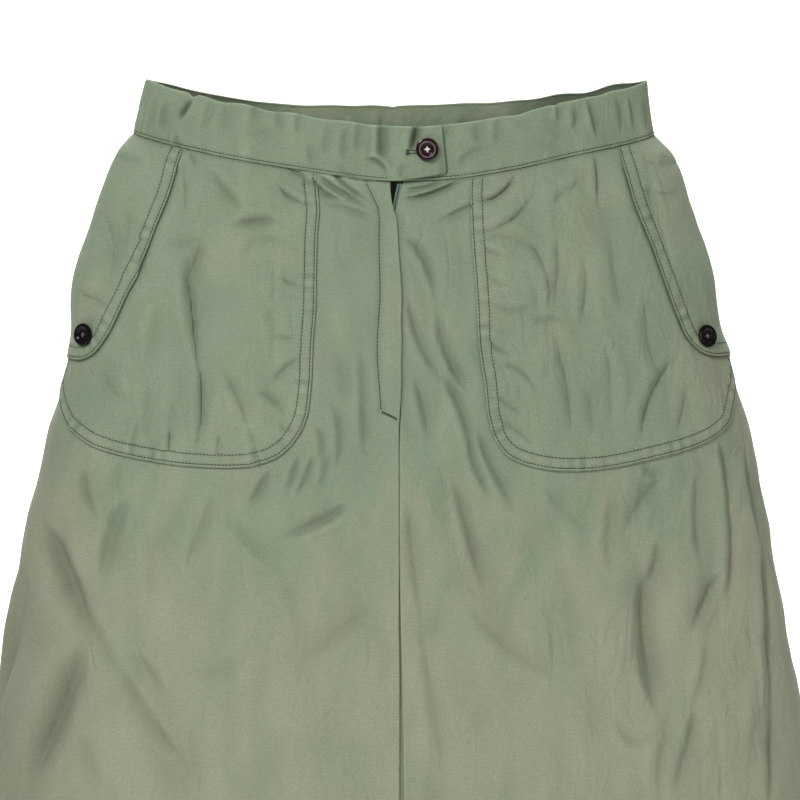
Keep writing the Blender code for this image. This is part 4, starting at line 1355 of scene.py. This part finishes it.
def pocket(name, node, table, mouth, phase, over):
    """A patch pocket; gives the place function of its outer face, and its sewn edge."""
    side = math.copysign(1.0, table[0][0])
    sewn = smooth_line(table[1:-1], POCKET_STEP)
    seam = side_line(side, table[-1][1], mouth[-1][1])
    sewn = np.vstack([waist_line(table[0][0], table[0][0])[:1], sewn, seam])
    opening = np.array([(side * u, z) for u, z in mouth[:0:-1]])
    top = waist_line(side * mouth[0][0], table[0][0])
    outline = even_line(np.vstack([sewn, opening, top]), POCKET_STEP)[:-1]
    place = patch_place(POCKET_OUT, sewn, phase)
    # the pocket's rim and the flap's edge over it get painted shadow
    patch(name, node, outline, sewn, place, phase, 0.5, over[1:])
    return place, sewn


pocket_right_place, pocket_right_sewn = pocket(
    "Pocket_right", "pocket_right", POCKET_RIGHT, MOUTH_RIGHT, 0.4, FLAP_RIGHT)
pocket_left_place, pocket_left_sewn = pocket(
    "Pocket_left", "pocket_left", POCKET_LEFT, MOUTH_LEFT, 1.7, FLAP_LEFT)


# Hip flaps: shaped poplin flaps over the pocket mouths, sewn in at the waist and side seams,
# top-stitched round the free edge and buttoned down near the side.
FLAP_OUT = POCKET_OUT + LAYER_GAP + PATCH_WALL
FLAP_TOP = -19.5
FLAP_STEP = 2.0


def flap(name, node, table, phase):
    """A hip flap; gives the place function of its outer face, and its free edge."""
    side = math.copysign(1.0, table[0][0])
    free = smooth_line(table[1:], FLAP_STEP)
    seam = side_line(side, table[-1][1], FLAP_TOP)
    free = np.vstack([waist_line(table[0][0], table[0][0])[:1], free, seam[:1]])
    corner = girth(np.array([side * (SIDE_SEAM - SIDE_TRIM)]), np.array([TOP_LEVEL]))[0]
    top = waist_line(corner, table[0][0])
    outline = even_line(np.vstack([free, seam[1:], top]), FLAP_STEP)[:-1]
    place = patch_place(FLAP_OUT, free, phase)
    # the flap's free edge gets a stronger painted shadow at its rim
    patch(name, node, outline, free, place, phase, 1.0)
    return place, free


flap_right_place, flap_right_edge = flap(
    "Flap_right", "flap_right", FLAP_RIGHT, 2.6)
flap_left_place, flap_left_edge = flap(
    "Flap_left", "flap_left", FLAP_LEFT, 0.9)


# Pleat insert: one strip behind the open edges below the centre seam, folded back on itself at
# each side, so that the pleat can open when the wearer walks.
PLEAT_DEPTH = 38.0
PLEAT_OUTER = -1.3
PLEAT_INNER = -1.9
PLEAT_TOP = -268.0
# the whole insert is painted darker: painted shade for its place back in the pleat
PLEAT_PAINTED_SHADE = -0.25
PLEAT_COLUMN = 4.0
PLEAT_ROW = 5.0 * COARSE
pleat_inside = np.append(0.5, np.linspace(3.0, PLEAT_DEPTH, 14))
pleat_path = [(-1, u, PLEAT_OUTER) for u in pleat_inside]
pleat_path += [(-1, PLEAT_DEPTH + 0.3, (PLEAT_OUTER + PLEAT_INNER) / 2)]
pleat_path += [(-1, u, PLEAT_INNER) for u in pleat_inside[::-1]]
pleat_path = np.array(pleat_path + [(1, u, d) for _, u, d in pleat_path[::-1]])
pleat_rows = np.arange(HEM, PLEAT_TOP, PLEAT_ROW)
mesh, column, row = grid_of(len(pleat_path) - 1, len(pleat_rows) - 1)
side, inside, depth = pleat_path[column].T
level = pleat_rows[row]
high = height(0 * level, level)
edge = np.where(side < 0, edge_girth(RIGHT_EDGE, high), edge_girth(LEFT_EDGE, high))
distance = edge + side * inside
flat = np.stack([column * PLEAT_COLUMN, level], axis=-1)
pleat = cloth_piece("Pleat_insert", mesh, skirt_point(angle_at(distance, level), level, depth),
                    flat, INNER_WALL, sage_poplin, np.full_like(level, PLEAT_PAINTED_SHADE))
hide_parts("pleat_insert")


# Waistband: a folded strip of poplin. It starts under the tab, runs round the back and ends as
# the tab, whose lower corner is rounded.
BAND_HEIGHT = 36.0
BAND_TOP = WAIST_SEAM + BAND_HEIGHT
BAND_SECTIONS = (
    # level, centre_x, half_width, front_depth, back_depth
    (WAIST_SEAM - 10.0, -1.8, 175.4, 38.4, 39.4),
    (WAIST_SEAM, -1.8, 173.8, 38.0, 39.0),
    (BAND_TOP, -0.6, 167.4, 37.0, 38.0),
)
BAND_WALL = 2.0
BAND_SHELL = 1.6
BAND_OUT = 0.35
UNDERLAP_ANGLE = -4.0
TAB_TOP_ANGLE = 360.0 + 10.6
TAB_FOOT_ANGLE = 360.0 + 11.8
TAB_CORNER = 3.2
TAB_OUT = 1.2 + BAND_WALL + LAYER_GAP
TAB_LIFTS = (330.0, 352.0)
TAB_TIP_RISE = 3.0
TIP_START = 358.0
TIP_ANGLE = 13.0
TAB_RADIUS = 173.0
TAB_REACH = 170.0
BAND_RADIUS = 116.0
BAND_FOLDS = (
    # girth_1, height_1, girth_2, height_2, girth_3, height_3, half_width, depth, ridge
    # front, wearer's right
    (-141, 6, -145, -2, -149, -10, 2.6, 2.8, -1.4),
    (-149, -16, -147, -24, -143, -32, 2.2, 1.2, 0.6),
    (-170, 8, -168, -6, -172, -20, 4.0, 1.1, 0.7),
    (-186, 8, -190, -4, -186, -16, 4.5, 1.2, 0.7),
    (-118, 4, -116, -8, -118, -20, 5.0, 0.9, 0.5),
    (-104, -14, -90, -18, -78, -16, 5.0, 0.8, -0.4),
    (-48, -8, -46, -22, -48, -36, 4.0, 0.9, 0.5),
    (-58, -22, -56, -32, -54, -42, 3.0, 0.9, 0.5),
    (-26, -8, -25, -20, -26, -34, 3.4, 1.2, 0.9),
    (-10, -6, -9, -22, -8, -38, 4.4, 3.6, 1.7),
    (-18, -8, -18, -22, -19, -36, 3.0, 1.0, -0.9),
    (-30, -10, -34, -24, -32, -40, 4.0, 1.1, 0.8),
    (-62, 0, -66, -10, -64, -24, 4.0, 1.3, 0.8),
    (-78, 2, -80, -8, -76, -20, 3.4, 1.0, 0.6),
    (-94, 4, -97, -4, -95, -14, 3.6, 1.1, 0.7),
    (-130, 6, -128, -6, -132, -18, 4.0, 1.1, 0.7),
    (-158, 6, -160, -6, -157, -20, 3.4, 1.3, 0.8),
    (-40, -36, -32, -44, -24, -50, 2.6, 0.8, 0.4),
    (-22, -35, -10, -37, -4, -48, 1.9, 2.2, -1.1),
    (-14, -26, -4, -34, 4, -44, 3.4, 0.8, 0.4),
    # front, wearer's left
    (16, 0, 14, -16, 9, -36, 3.4, 4.4, 1.6),
    (34, -6, 36, -14, 33, -26, 3.6, 1.0, 0.6),
    (68, -6, 70, -16, 67, -28, 3.6, 1.0, 0.6),
    (122, 4, 124, -8, 122, -20, 3.4, 1.1, 0.7),
    (162, 8, 165, -4, 163, -18, 3.0, 1.2, 0.7),
    (6, -36, 5, -42, 4, -48, 3.0, 1.0, 0.5),
    (54, -10, 56, -18, 56, -26, 4.5, 1.0, 0.6),
    (42, -42, 50, -32, 64, -26, 3.2, 1.0, -0.5),
    (76, -8, 88, -12, 96, -10, 4.5, 0.8, 0.4),
    (110, 6, 112, -4, 111, -12, 2.2, 1.1, 0.6),
    (96, -22, 104, -26, 114, -24, 4.0, 0.8, -0.4),
    (132, 6, 136, -8, 137, -24, 2.4, 1.5, 0.8),
    (152, 8, 156, -4, 154, -18, 4.0, 1.0, 0.6),
    (174, 8, 176, -6, 172, -18, 4.5, 1.1, 0.6),
    # back
    (-206, 8, -204, -6, -208, -20, 4.0, 1.1, 0.6),
    (-262, 2, -266, -10, -262, -26, 4.5, 1.1, 0.6),
    (-302, -2, -298, -14, -300, -30, 3.4, 1.2, 0.7),
    (-336, -4, -338, -16, -334, -32, 4.4, 1.1, 0.6),
    (-354, -2, -356, -12, -354, -24, 3.0, 1.2, 0.7),
    (322, -2, 326, -14, 322, -30, 4.0, 1.2, 0.7),
    (296, 0, 292, -12, 296, -28, 4.6, 1.0, 0.6),
    (252, 2, 256, -12, 252, -26, 3.6, 1.2, 0.7),
    (212, 6, 208, -8, 212, -20, 4.2, 1.1, 0.6),
)
BAND_ROW = 1.9
BAND_WAVE = 1.1
BAND_COLUMNS = int(760 / COARSE)
BAND_DIPS = (
    # girth, half_width, drop of the top fold
    (-141.0, 2.8, 2.3),
    (-118.0, 12.0, 1.0),
    (-60.0, 16.0, 0.9),
    (84.0, 7.0, 1.1),
    (110.0, 2.2, 0.9),
    (142.0, 6.0, 0.9),
)
band_shares = np.concatenate([[0.0, 0.012, 0.028, 0.05, 0.075], np.linspace(0.105, 0.935, 26),
                              [0.965, 0.985, 1.0]])


def band_face(angle, share, lift):
    """The outer face of the waistband, and its painted tone: share is 0 at the waist seam and 1
    at the top fold."""
    tip = ease((angle - TIP_START) / TIP_ANGLE)
    around = wrapped(angle)
    distance = girth(around, WAIST_SEAM + 0 * angle)
    bottom = WAIST_SEAM - 0.2 + (TAB_TIP_RISE + 0.35) * tip
    top = BAND_TOP + BAND_WAVE * pucker(0.22 * distance, 1.1)
    for place, wide, drop in BAND_DIPS:
        top = top - drop * bell(distance - place, wide)
    level = bottom + (top - bottom) * share
    point, out = section_point(around, level, BAND_SECTIONS)
    relief, tone = fold_relief(distance, point[:, 2], BAND_FOLDS, crisp=True)
    waves = 0.7 * rumple(point)
    from_top, from_seam = top - level, level - bottom
    drawn = pucker(0.7 * distance, 0.7) * bell(from_seam, 8.0) * (1 - tip)
    relief = 1.3 * relief + waves + 0.25 * drawn
    relief = relief - 0.7 * (1 - ease(from_top / 1.4)) - 0.25 * (1 - ease(from_seam / 0.7))
    relief = relief - 0.3 * bell(from_seam - BAND_ROW, 0.9) * (1 - tip)
    # painted shade in the band's creases, pucker hollows and along its row of stitches, painted
    # highlight on its ridges, and the whole band a little darker
    tone = 1.25 * TONE_DEPTH * (tone + 0.2 * waves) + 0.12 * drawn
    tone = tone - 0.15 * bell(from_seam - BAND_ROW, 1.1) * (1 - tip)
    return point + out * (lift + relief)[:, None], np.clip(tone - 0.10, *TONE_LIMITS)


def band_lift(angle):
    """How far the band stands out: the tab lies over the other end."""
    first, last = TAB_LIFTS
    return BAND_OUT + (TAB_OUT - BAND_OUT) * ease((angle - first) / (last - first))


mesh, column, row = grid_of(BAND_COLUMNS, len(band_shares) - 1)
share = band_shares[row]
foot = BAND_HEIGHT * share
rounded = np.clip(TAB_CORNER - foot, 0, None)
corner = TAB_CORNER - np.sqrt(TAB_CORNER**2 - rounded**2)
tab_end = TAB_FOOT_ANGLE + (TAB_TOP_ANGLE - TAB_FOOT_ANGLE) * share
tab_end = tab_end - np.degrees(corner / TAB_RADIUS)
angle = UNDERLAP_ANGLE + (tab_end - UNDERLAP_ANGLE) * column / BAND_COLUMNS
from_end = np.radians(tab_end - angle) * TAB_REACH
edge_roll = -1.5 * (1 - ease(from_end / 6.0)) - 0.5 * (1 - ease(from_end / 1.2))
flat = np.stack([np.radians(angle) * BAND_RADIUS, foot], axis=-1)
points, wear_and_painted_light = band_face(angle, share, band_lift(angle) + edge_roll)
# paler along the top fold; at the tab's end a painted highlight on its rounded edge and a painted
# shadow line at its very edge
wear_and_painted_light += 0.35 * bell(BAND_HEIGHT - foot, 1.0) + 0.3 * bell(from_end - 1.0, 0.6)
wear_and_painted_light -= 0.5 * bell(from_end, 0.4)
# the band's inside gets painted shade: darker towards the sides, where front and back lie close,
# and towards its foot
sage_facing = poplin("Sage poplin facing", *SAGE, (0.030, 0.038, 0.022), shade="inner_painted_shade")
inner_painted_shade = -0.6 * ease((np.abs(points[:, 0]) - 62.0) / 50.0)
inner_painted_shade = inner_painted_shade - 0.25 * (1 - ease((foot - 18.0) / 14.0))
waistband = cloth_piece("Waistband", mesh, points, flat, BAND_SHELL, sage_poplin, wear_and_painted_light,
                        sage_facing, inner_painted_shade)
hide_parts("waistband")


# Top-stitching: darker green thread along the waist seam, the fly, the pockets and the flaps,
# and a row round the hem.
def sewing_thread(name, colour):
    """Spun thread with a slight twist in its shade."""
    return streaked(name, darker(colour, 0.6), colour, (900.0,) * 3, {"Roughness": 0.7})


green_thread = sewing_thread("Green thread", (0.050, 0.068, 0.040))
FLY_BAR = ((-11.8, -200.8), (-7.0, -202.8), (-1.7, -205.8))
STITCH_RINGS = (
    # share of the pitch, height over the cloth, share of the thread's radius
    (0.00, -0.55, 0.55),
    (0.12, -0.10, 0.9),
    (0.30, 0.16, 1.0),
    (0.52, 0.20, 1.0),
    (0.74, 0.14, 1.0),
    (0.90, -0.12, 0.9),
)


def sew(rows, points, normals, pitch=2.45, thickness=0.66):
    """A row of stitches along a line of points on the cloth: one thread that lies on the cloth
    and goes down through it at each end of a stitch."""
    walked = np.append(0.0, np.cumsum(np.linalg.norm(np.diff(points, axis=0), axis=-1)))
    count = max(1, int(walked[-1] / pitch))
    share, lift, size = np.array(STITCH_RINGS * count + STITCH_RINGS[:1]).T
    stitch = np.arange(len(share)) // len(STITCH_RINGS)
    at = (stitch + share) * walked[-1] / count
    size[[0, -1]] = 0.0
    line = np.stack([np.interp(at, walked, points[:, axis]) for axis in range(3)], axis=-1)
    up = np.stack([np.interp(at, walked, normals[:, axis]) for axis in range(3)], axis=-1)
    round_thread(rows, line + up * lift[:, None], up, size * thickness / 2)


def beside(line, inset):
    """A line moved sideways by an inset, to its left hand."""
    along = np.gradient(line, axis=0)
    along /= np.linalg.norm(along, axis=-1, keepdims=True)
    return line + inset * np.stack([-along[:, 1], along[:, 0]], axis=-1)


def on_place(place, line):
    """A line's points on the cloth and the cloth's normals there."""
    u, z = line.T
    points = place(u, z)
    across = place(u + 0.5, z) - place(u - 0.5, z)
    up = place(u, z + 0.5) - place(u, z - 0.5)
    normal = np.cross(across, up)
    return points, normal / np.linalg.norm(normal, axis=-1, keepdims=True)


for name, place, sewn in (
    ("Stitches_pocket_right", pocket_right_place, pocket_right_sewn),
    ("Stitches_pocket_left", pocket_left_place, pocket_left_sewn),
    ("Stitches_flap_right", flap_right_place, flap_right_edge),
    ("Stitches_flap_left", flap_left_place, flap_left_edge),
):
    rows = bmesh.new()
    side = -1.0 if sewn[0][0] > 0 else 1.0
    for inset in (ROW_OUTER, ROW_INNER):
        line = even_line(beside(even_line(sewn, 2.0), -side * inset), 1.5)
        sew(rows, *on_place(place, line))
    thread_piece(name, rows, green_thread)

rows = bmesh.new()
u, z = even_line(np.array(FLY_STITCH), 1.5).T
angle, level = spot(u, z)
sew(rows, right_front(u, angle, level), cloth_frame(angle, level)[1])
for shift in (-0.5, 0.0, 0.5):
    u, z = even_line(np.array(FLY_BAR), 1.5).T
    angle, level = spot(u, z + shift)
    sew(rows, right_front(u, angle, level), cloth_frame(angle, level)[1], pitch=1.6)
thread_piece("Stitches_fly", rows, green_thread)

rows = bmesh.new()
angle = np.linspace(3.0, 358.6, 700)
around = wrapped(angle)
_, out = section_point(around, WAIST_SEAM + 0 * angle, BAND_SECTIONS)
points, _ = band_face(angle, BAND_ROW / BAND_HEIGHT + 0 * angle, band_lift(angle))
sew(rows, points, out, thickness=0.55)
thread_piece("Stitches_waistband", rows, green_thread)

rows = bmesh.new()
for side, place in ((-1, right_front), (1, left_front)):
    angle = side * np.linspace(0.6, SIDE_SEAM - 1.0, 300)
    level = HEM + HEM_TURN + 0 * angle
    sew(rows, place(girth(angle, level), angle, level), cloth_frame(angle, level)[1])
angle = np.linspace(SIDE_SEAM + 1.0, 359.0 - SIDE_SEAM, 600)
level = HEM + HEM_TURN + 0 * angle
sew(rows, back_face(girth(angle, level), angle, level), cloth_frame(angle, level)[1])
thread_piece("Stitches_hem", rows, green_thread)


# Buttonhole: close green stitches round a slit in the tab, drawn open by the button, with a bar
# at its end and one pale strand of the button's thread.
FACE_MIDDLE = -1.2
FACE_RADIUS = 169.0
SLIT_HEIGHT = -30.8


def on_tab(x, z):
    """Places on the face of the tab, by their width from the middle and their height."""
    angle = 360.0 + np.degrees(np.arcsin((x - FACE_MIDDLE) / FACE_RADIUS))
    share = (z - height(angle, WAIST_SEAM + 0 * angle)) / BAND_HEIGHT
    return band_face(angle, share, band_lift(angle))[0]


def tab_thread(rows, ends, thickness, lift=0.1):
    """A short thread on the tab, from one place to another."""
    size = thickness / 2 * np.array([0.3, 0.8, 1.0, 1.0, 1.0, 0.8, 0.3])
    x, z = np.linspace(*ends, len(size)).T
    up = np.tile([0.0, -1.0, 0.0], (len(size), 1))
    round_thread(rows, on_tab(x, z) + up * lift, up, size)


rows, slit, strand = bmesh.new(), bmesh.new(), bmesh.new()
for x in np.arange(7.6, 14.0, 0.62):
    for way in (-1, 1):
        tab_thread(rows, ((x, SLIT_HEIGHT + 0.3 * way), (x, SLIT_HEIGHT + 1.5 * way)), 0.55)
for x in (6.2, 6.8, 7.4):
    tab_thread(rows, ((x, SLIT_HEIGHT - 2.2), (x, SLIT_HEIGHT + 2.2)), 0.75, 0.2)
# a near-black thread along the slit stands in for the shadow in it: painted shadow
tab_thread(slit, ((7.4, SLIT_HEIGHT), (14.2, SLIT_HEIGHT)), 0.8, -0.1)
tab_thread(strand, ((6.6, SLIT_HEIGHT + 0.5), (13.6, SLIT_HEIGHT - 0.2)), 0.6, 0.45)
thread_piece("Buttonhole", rows, sewing_thread("Buttonhole thread", (0.060, 0.075, 0.045)))
thread_piece("Buttonhole_slit_painted_shadow", slit, sewing_thread("Slit painted shadow", (0.010, 0.010, 0.008)))
thread_piece("Buttonhole_strand", strand, sewing_thread("Strand", (0.42, 0.42, 0.36)))


# Buttons: dark four-hole buttons with a raised rim and a dished middle, sewn on with thread.
BUTTON_PROFILE = (
    # radius, height
    (0.0, 1.5),
    (3.4, 1.6),
    (4.3, 1.9),
    (4.8, 2.6),
    (5.4, 2.9),
    (6.6, 2.9),
    (7.3, 2.6),
    (7.6, 2.0),
    (7.5, 1.2),
    (6.6, 0.4),
    (5.0, 0.1),
    (0.0, 0.1),
)
HOLE_CIRCLE = 2.1
HOLE_RADIUS = 0.8
HOLE_TURN = 4
SEWN_HEIGHT = 1.7


def polished_horn(name, colour, streak):
    """Dark horn-like plastic with paler streaks, polished."""
    return streaked(name, colour, streak, (180.0, 180.0, 420.0),
                    {"Roughness": 0.18, "Specular IOR Level": 0.2}, detail=4.0)


dark_horn = polished_horn("Dark horn", (0.005, 0.002, 0.002), (0.030, 0.012, 0.014))
black_horn = polished_horn("Black horn", (0.001, 0.001, 0.001), (0.006, 0.004, 0.004))
# the paler mauve ring on the waist button's rim is a painted highlight
painted_ring_highlight_horn = polished_horn("Mauve ring painted highlight", (0.05, 0.03, 0.035), (0.36, 0.26, 0.28))
RING_RADII = (4.8, 5.3)
pale_thread = sewing_thread("Pale thread", (0.88, 0.84, 0.78))
dark_thread = sewing_thread("Dark thread", (0.10, 0.09, 0.09))


def seat_of(node):
    """Where a button's solid sits: the middle of its foot, and the direction out of its face."""
    points = np.array([vert.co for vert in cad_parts[node].data.vertices])
    centre = points.mean(axis=0)
    _, _, axes = np.linalg.svd(points - centre)
    normal = axes[2] * (1 if axes[2][1] < 0 else -1)
    return centre + normal * ((points - centre) @ normal).min(), normal


def hole_spot(quarter, high):
    """The middle of one of the four holes, at a height over the button's foot."""
    way = math.radians(HOLE_TURN + 90 * quarter)
    return (HOLE_CIRCLE * math.cos(way), HOLE_CIRCLE * math.sin(way), high)


def button(name, node, thread, horn, ring_horn):
    """A turned button with four holes, over its solid, and its sewing."""
    foot, normal = seat_of(node)
    turn = Vector(normal).to_track_quat("Z", "Y").to_matrix().to_4x4()
    place = Matrix.Translation(foot) @ turn @ Matrix.Scale(MM, 4)
    mesh = bmesh.new()
    ring = [mesh.verts.new((radius, 0.0, high)) for radius, high in BUTTON_PROFILE]
    edges = [mesh.edges.new(pair) for pair in zip(ring, ring[1:])]
    bmesh.ops.spin(mesh, geom=ring + edges, cent=(0, 0, 0), axis=(0, 0, 1),
                   angle=2 * math.pi, steps=48, use_merge=True)
    bmesh.ops.remove_doubles(mesh, verts=mesh.verts, dist=0.001)
    bmesh.ops.recalc_face_normals(mesh, faces=mesh.faces)
    disc = as_object(name, mesh)
    drill = bmesh.new()
    for quarter in range(4):
        bmesh.ops.create_cone(drill, cap_ends=True, segments=16, radius1=HOLE_RADIUS,
                              radius2=HOLE_RADIUS, depth=6.0,
                              matrix=Matrix.Translation(hole_spot(quarter, 1.0)))
    cutter = as_object(name + "_drill", drill)
    cut = disc.modifiers.new("Holes", "BOOLEAN")
    cut.operation = "DIFFERENCE"
    cut.object = cutter
    bpy.context.view_layer.update()
    drilled = bpy.data.meshes.new_from_object(
        disc.evaluated_get(bpy.context.evaluated_depsgraph_get()))
    disc.modifiers.clear()
    disc.data = drilled
    bpy.data.objects.remove(cutter)
    ring_faces = [face.index for face in drilled.polygons if face.center[2] > 1.5
                  and RING_RADII[0] < math.hypot(*face.center[:2]) < RING_RADII[1]]
    drilled.transform(place)
    drilled.materials.clear()
    drilled.materials.append(horn)
    drilled.materials.append(ring_horn)
    for number in ring_faces:
        drilled.polygons[number].material_index = 1
    drilled.shade_smooth()
    drilled.set_sharp_from_angle(angle=math.radians(40))
    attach(disc, "root")
    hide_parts(node)
    sewing = bmesh.new()
    for number, (one, other) in enumerate(((0, 2), (1, 3))):
        for strand in (-0.3, 0.0, 0.3):
            high = SEWN_HEIGHT + 0.15 * number
            ends = np.array([hole_spot(one, high), hole_spot(other, high)])
            along = ends[1] - ends[0]
            aside = np.array([-along[1], along[0], 0.0]) / np.linalg.norm(along) * strand
            line = np.linspace(ends[0] + aside, ends[1] + aside, 8)
            sew(sewing, line, np.tile([0.0, 0.0, 1.0], (8, 1)), pitch=4.4, thickness=0.7)
    bmesh.ops.transform(sewing, matrix=place @ Matrix.Scale(1 / MM, 4), verts=sewing.verts)
    thread_piece("Thread_" + name, sewing, thread)


button("Button_waist", "button_waist", pale_thread, dark_horn, painted_ring_highlight_horn)
button("Button_flap_right", "button_flap_right", dark_thread, black_horn, black_horn)
button("Button_flap_left", "button_flap_left", dark_thread, black_horn, black_horn)


# Zip slider: the solid stays, in satin metal.
slider_metal, tree, shader = new_material("Slider metal")
scuff = noise(tree, object_place(tree), scale=1500.0)
feed(tree, shader, {
    "Base Color": (0.74, 0.73, 0.70), "Metallic": 1.0,
    "Roughness": ranged(tree, scuff, (0.0, 1.0, 0.22, 0.45))})
slider_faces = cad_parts["zip_slider"].data
slider_faces.materials.clear()
slider_faces.materials.append(slider_metal)


# Floor and backdrop, lights and camera.
PAPER_GLOW = 0.55
FLOOR_HEIGHT = -0.95
FLOOR_SIZE = 6.0
FLOOR_SHIFT = -3.0
WALL_BEND = 1.2


def paper(name, shade):
    """Matt studio paper, clear from behind, so that it hides nothing."""
    material, tree, shader = new_material(name)
    seen = add_node(tree, "LightPath").outputs["Is Camera Ray"]
    feed(tree, shader, {
        "Base Color": (shade, shade, shade), "Roughness": 0.95,
        "Emission Color": (1.0, 1.0, 1.0),
        "Emission Strength": calc(tree, "MULTIPLY", seen, PAPER_GLOW)})
    clear = add_node(tree, "BsdfTransparent").outputs[0]
    both = add_node(tree, "MixShader", {
        0: add_node(tree, "NewGeometry").outputs["Backfacing"], 1: shader.outputs[0], 2: clear})
    tree.links.new(both.outputs[0], tree.nodes["Material Output"].inputs["Surface"])
    return material


def at_back(edge):
    """Whether an edge of the floor lies at its back."""
    return all(abs(vert.co.z - FLOOR_HEIGHT) < 1e-4 and vert.co.y > FLOOR_SIZE + FLOOR_SHIFT - 0.1
               for vert in edge.verts)


floor_mesh = bmesh.new()
bmesh.ops.create_grid(floor_mesh, x_segments=1, y_segments=1, size=FLOOR_SIZE)
for vert in floor_mesh.verts:
    vert.co.z = FLOOR_HEIGHT
    vert.co.y += FLOOR_SHIFT
back_edge = [edge for edge in floor_mesh.edges if at_back(edge)]
raised = bmesh.ops.extrude_edge_only(floor_mesh, edges=back_edge)
for item in raised["geom"]:
    if isinstance(item, bmesh.types.BMVert):
        item.co.z += FLOOR_SIZE
bmesh.ops.bevel(floor_mesh, geom=[edge for edge in floor_mesh.edges if at_back(edge)],
                offset=WALL_BEND, segments=12, profile=0.5, affect="EDGES", material=-1)
bmesh.ops.recalc_face_normals(floor_mesh, faces=floor_mesh.faces)
floor_mesh.normal_update()
if sum(face.normal.z * face.calc_area() for face in floor_mesh.faces) < 0:
    bmesh.ops.reverse_faces(floor_mesh, faces=floor_mesh.faces)
for face in floor_mesh.faces:
    face.smooth = True
studio_paper = as_object("Studio_paper", floor_mesh, paper("Pale paper", 0.9))

AIM = Vector((0.002, 0.0, -0.1963))
CAMERA_DISTANCE = 4.0
CAMERA_RISE = math.radians(2.6)
FRAME_WIDTH = 0.536
SENSOR = 36.0
camera_data = bpy.data.cameras.new("Camera")
camera_data.sensor_width = SENSOR
camera_data.lens = SENSOR * CAMERA_DISTANCE / FRAME_WIDTH
camera = bpy.data.objects.new("Camera", camera_data)
back_off = Vector((0.0, -math.cos(CAMERA_RISE), math.sin(CAMERA_RISE)))
camera.location = AIM + back_off * CAMERA_DISTANCE
camera.rotation_mode = "QUATERNION"
camera.rotation_quaternion = (-back_off).to_track_quat("-Z", "Y")
bpy.context.scene.collection.objects.link(camera)
bpy.context.scene.camera = camera


def softbox(name, place, target, size, watts):
    """A square soft light, aimed at a point."""
    data = bpy.data.lights.new(name, "AREA")
    data.shape = "SQUARE"
    data.size = size
    data.energy = watts
    lamp = bpy.data.objects.new(name, data)
    lamp.location = place
    lamp.rotation_mode = "QUATERNION"
    lamp.rotation_quaternion = (Vector(target) - Vector(place)).to_track_quat("-Z", "Y")
    bpy.context.scene.collection.objects.link(lamp)


softbox("Key", (-1.2, -2.45, 1.55), (0.0, 0.0, -0.3), 0.6, 66.0)
softbox("Fill", (2.2, -2.3, 0.6), (0.0, 0.0, -0.35), 1.2, 15.0)
softbox("Wall", (0.0, 1.4, 2.6), (0.0, 3.2, 0.0), 2.5, 170.0)

world = bpy.data.worlds.new("Studio")
bpy.context.scene.world = world
world.use_nodes = True
seen = add_node(world.node_tree, "LightPath").outputs["Is Camera Ray"]
feed(world.node_tree, world.node_tree.nodes["Background"], {
    "Color": (1.0, 1.0, 1.0), "Strength": ranged(world.node_tree, seen, (0.0, 1.0, 0.20, 1.0))})
bpy.context.scene.view_settings.view_transform = "Standard"
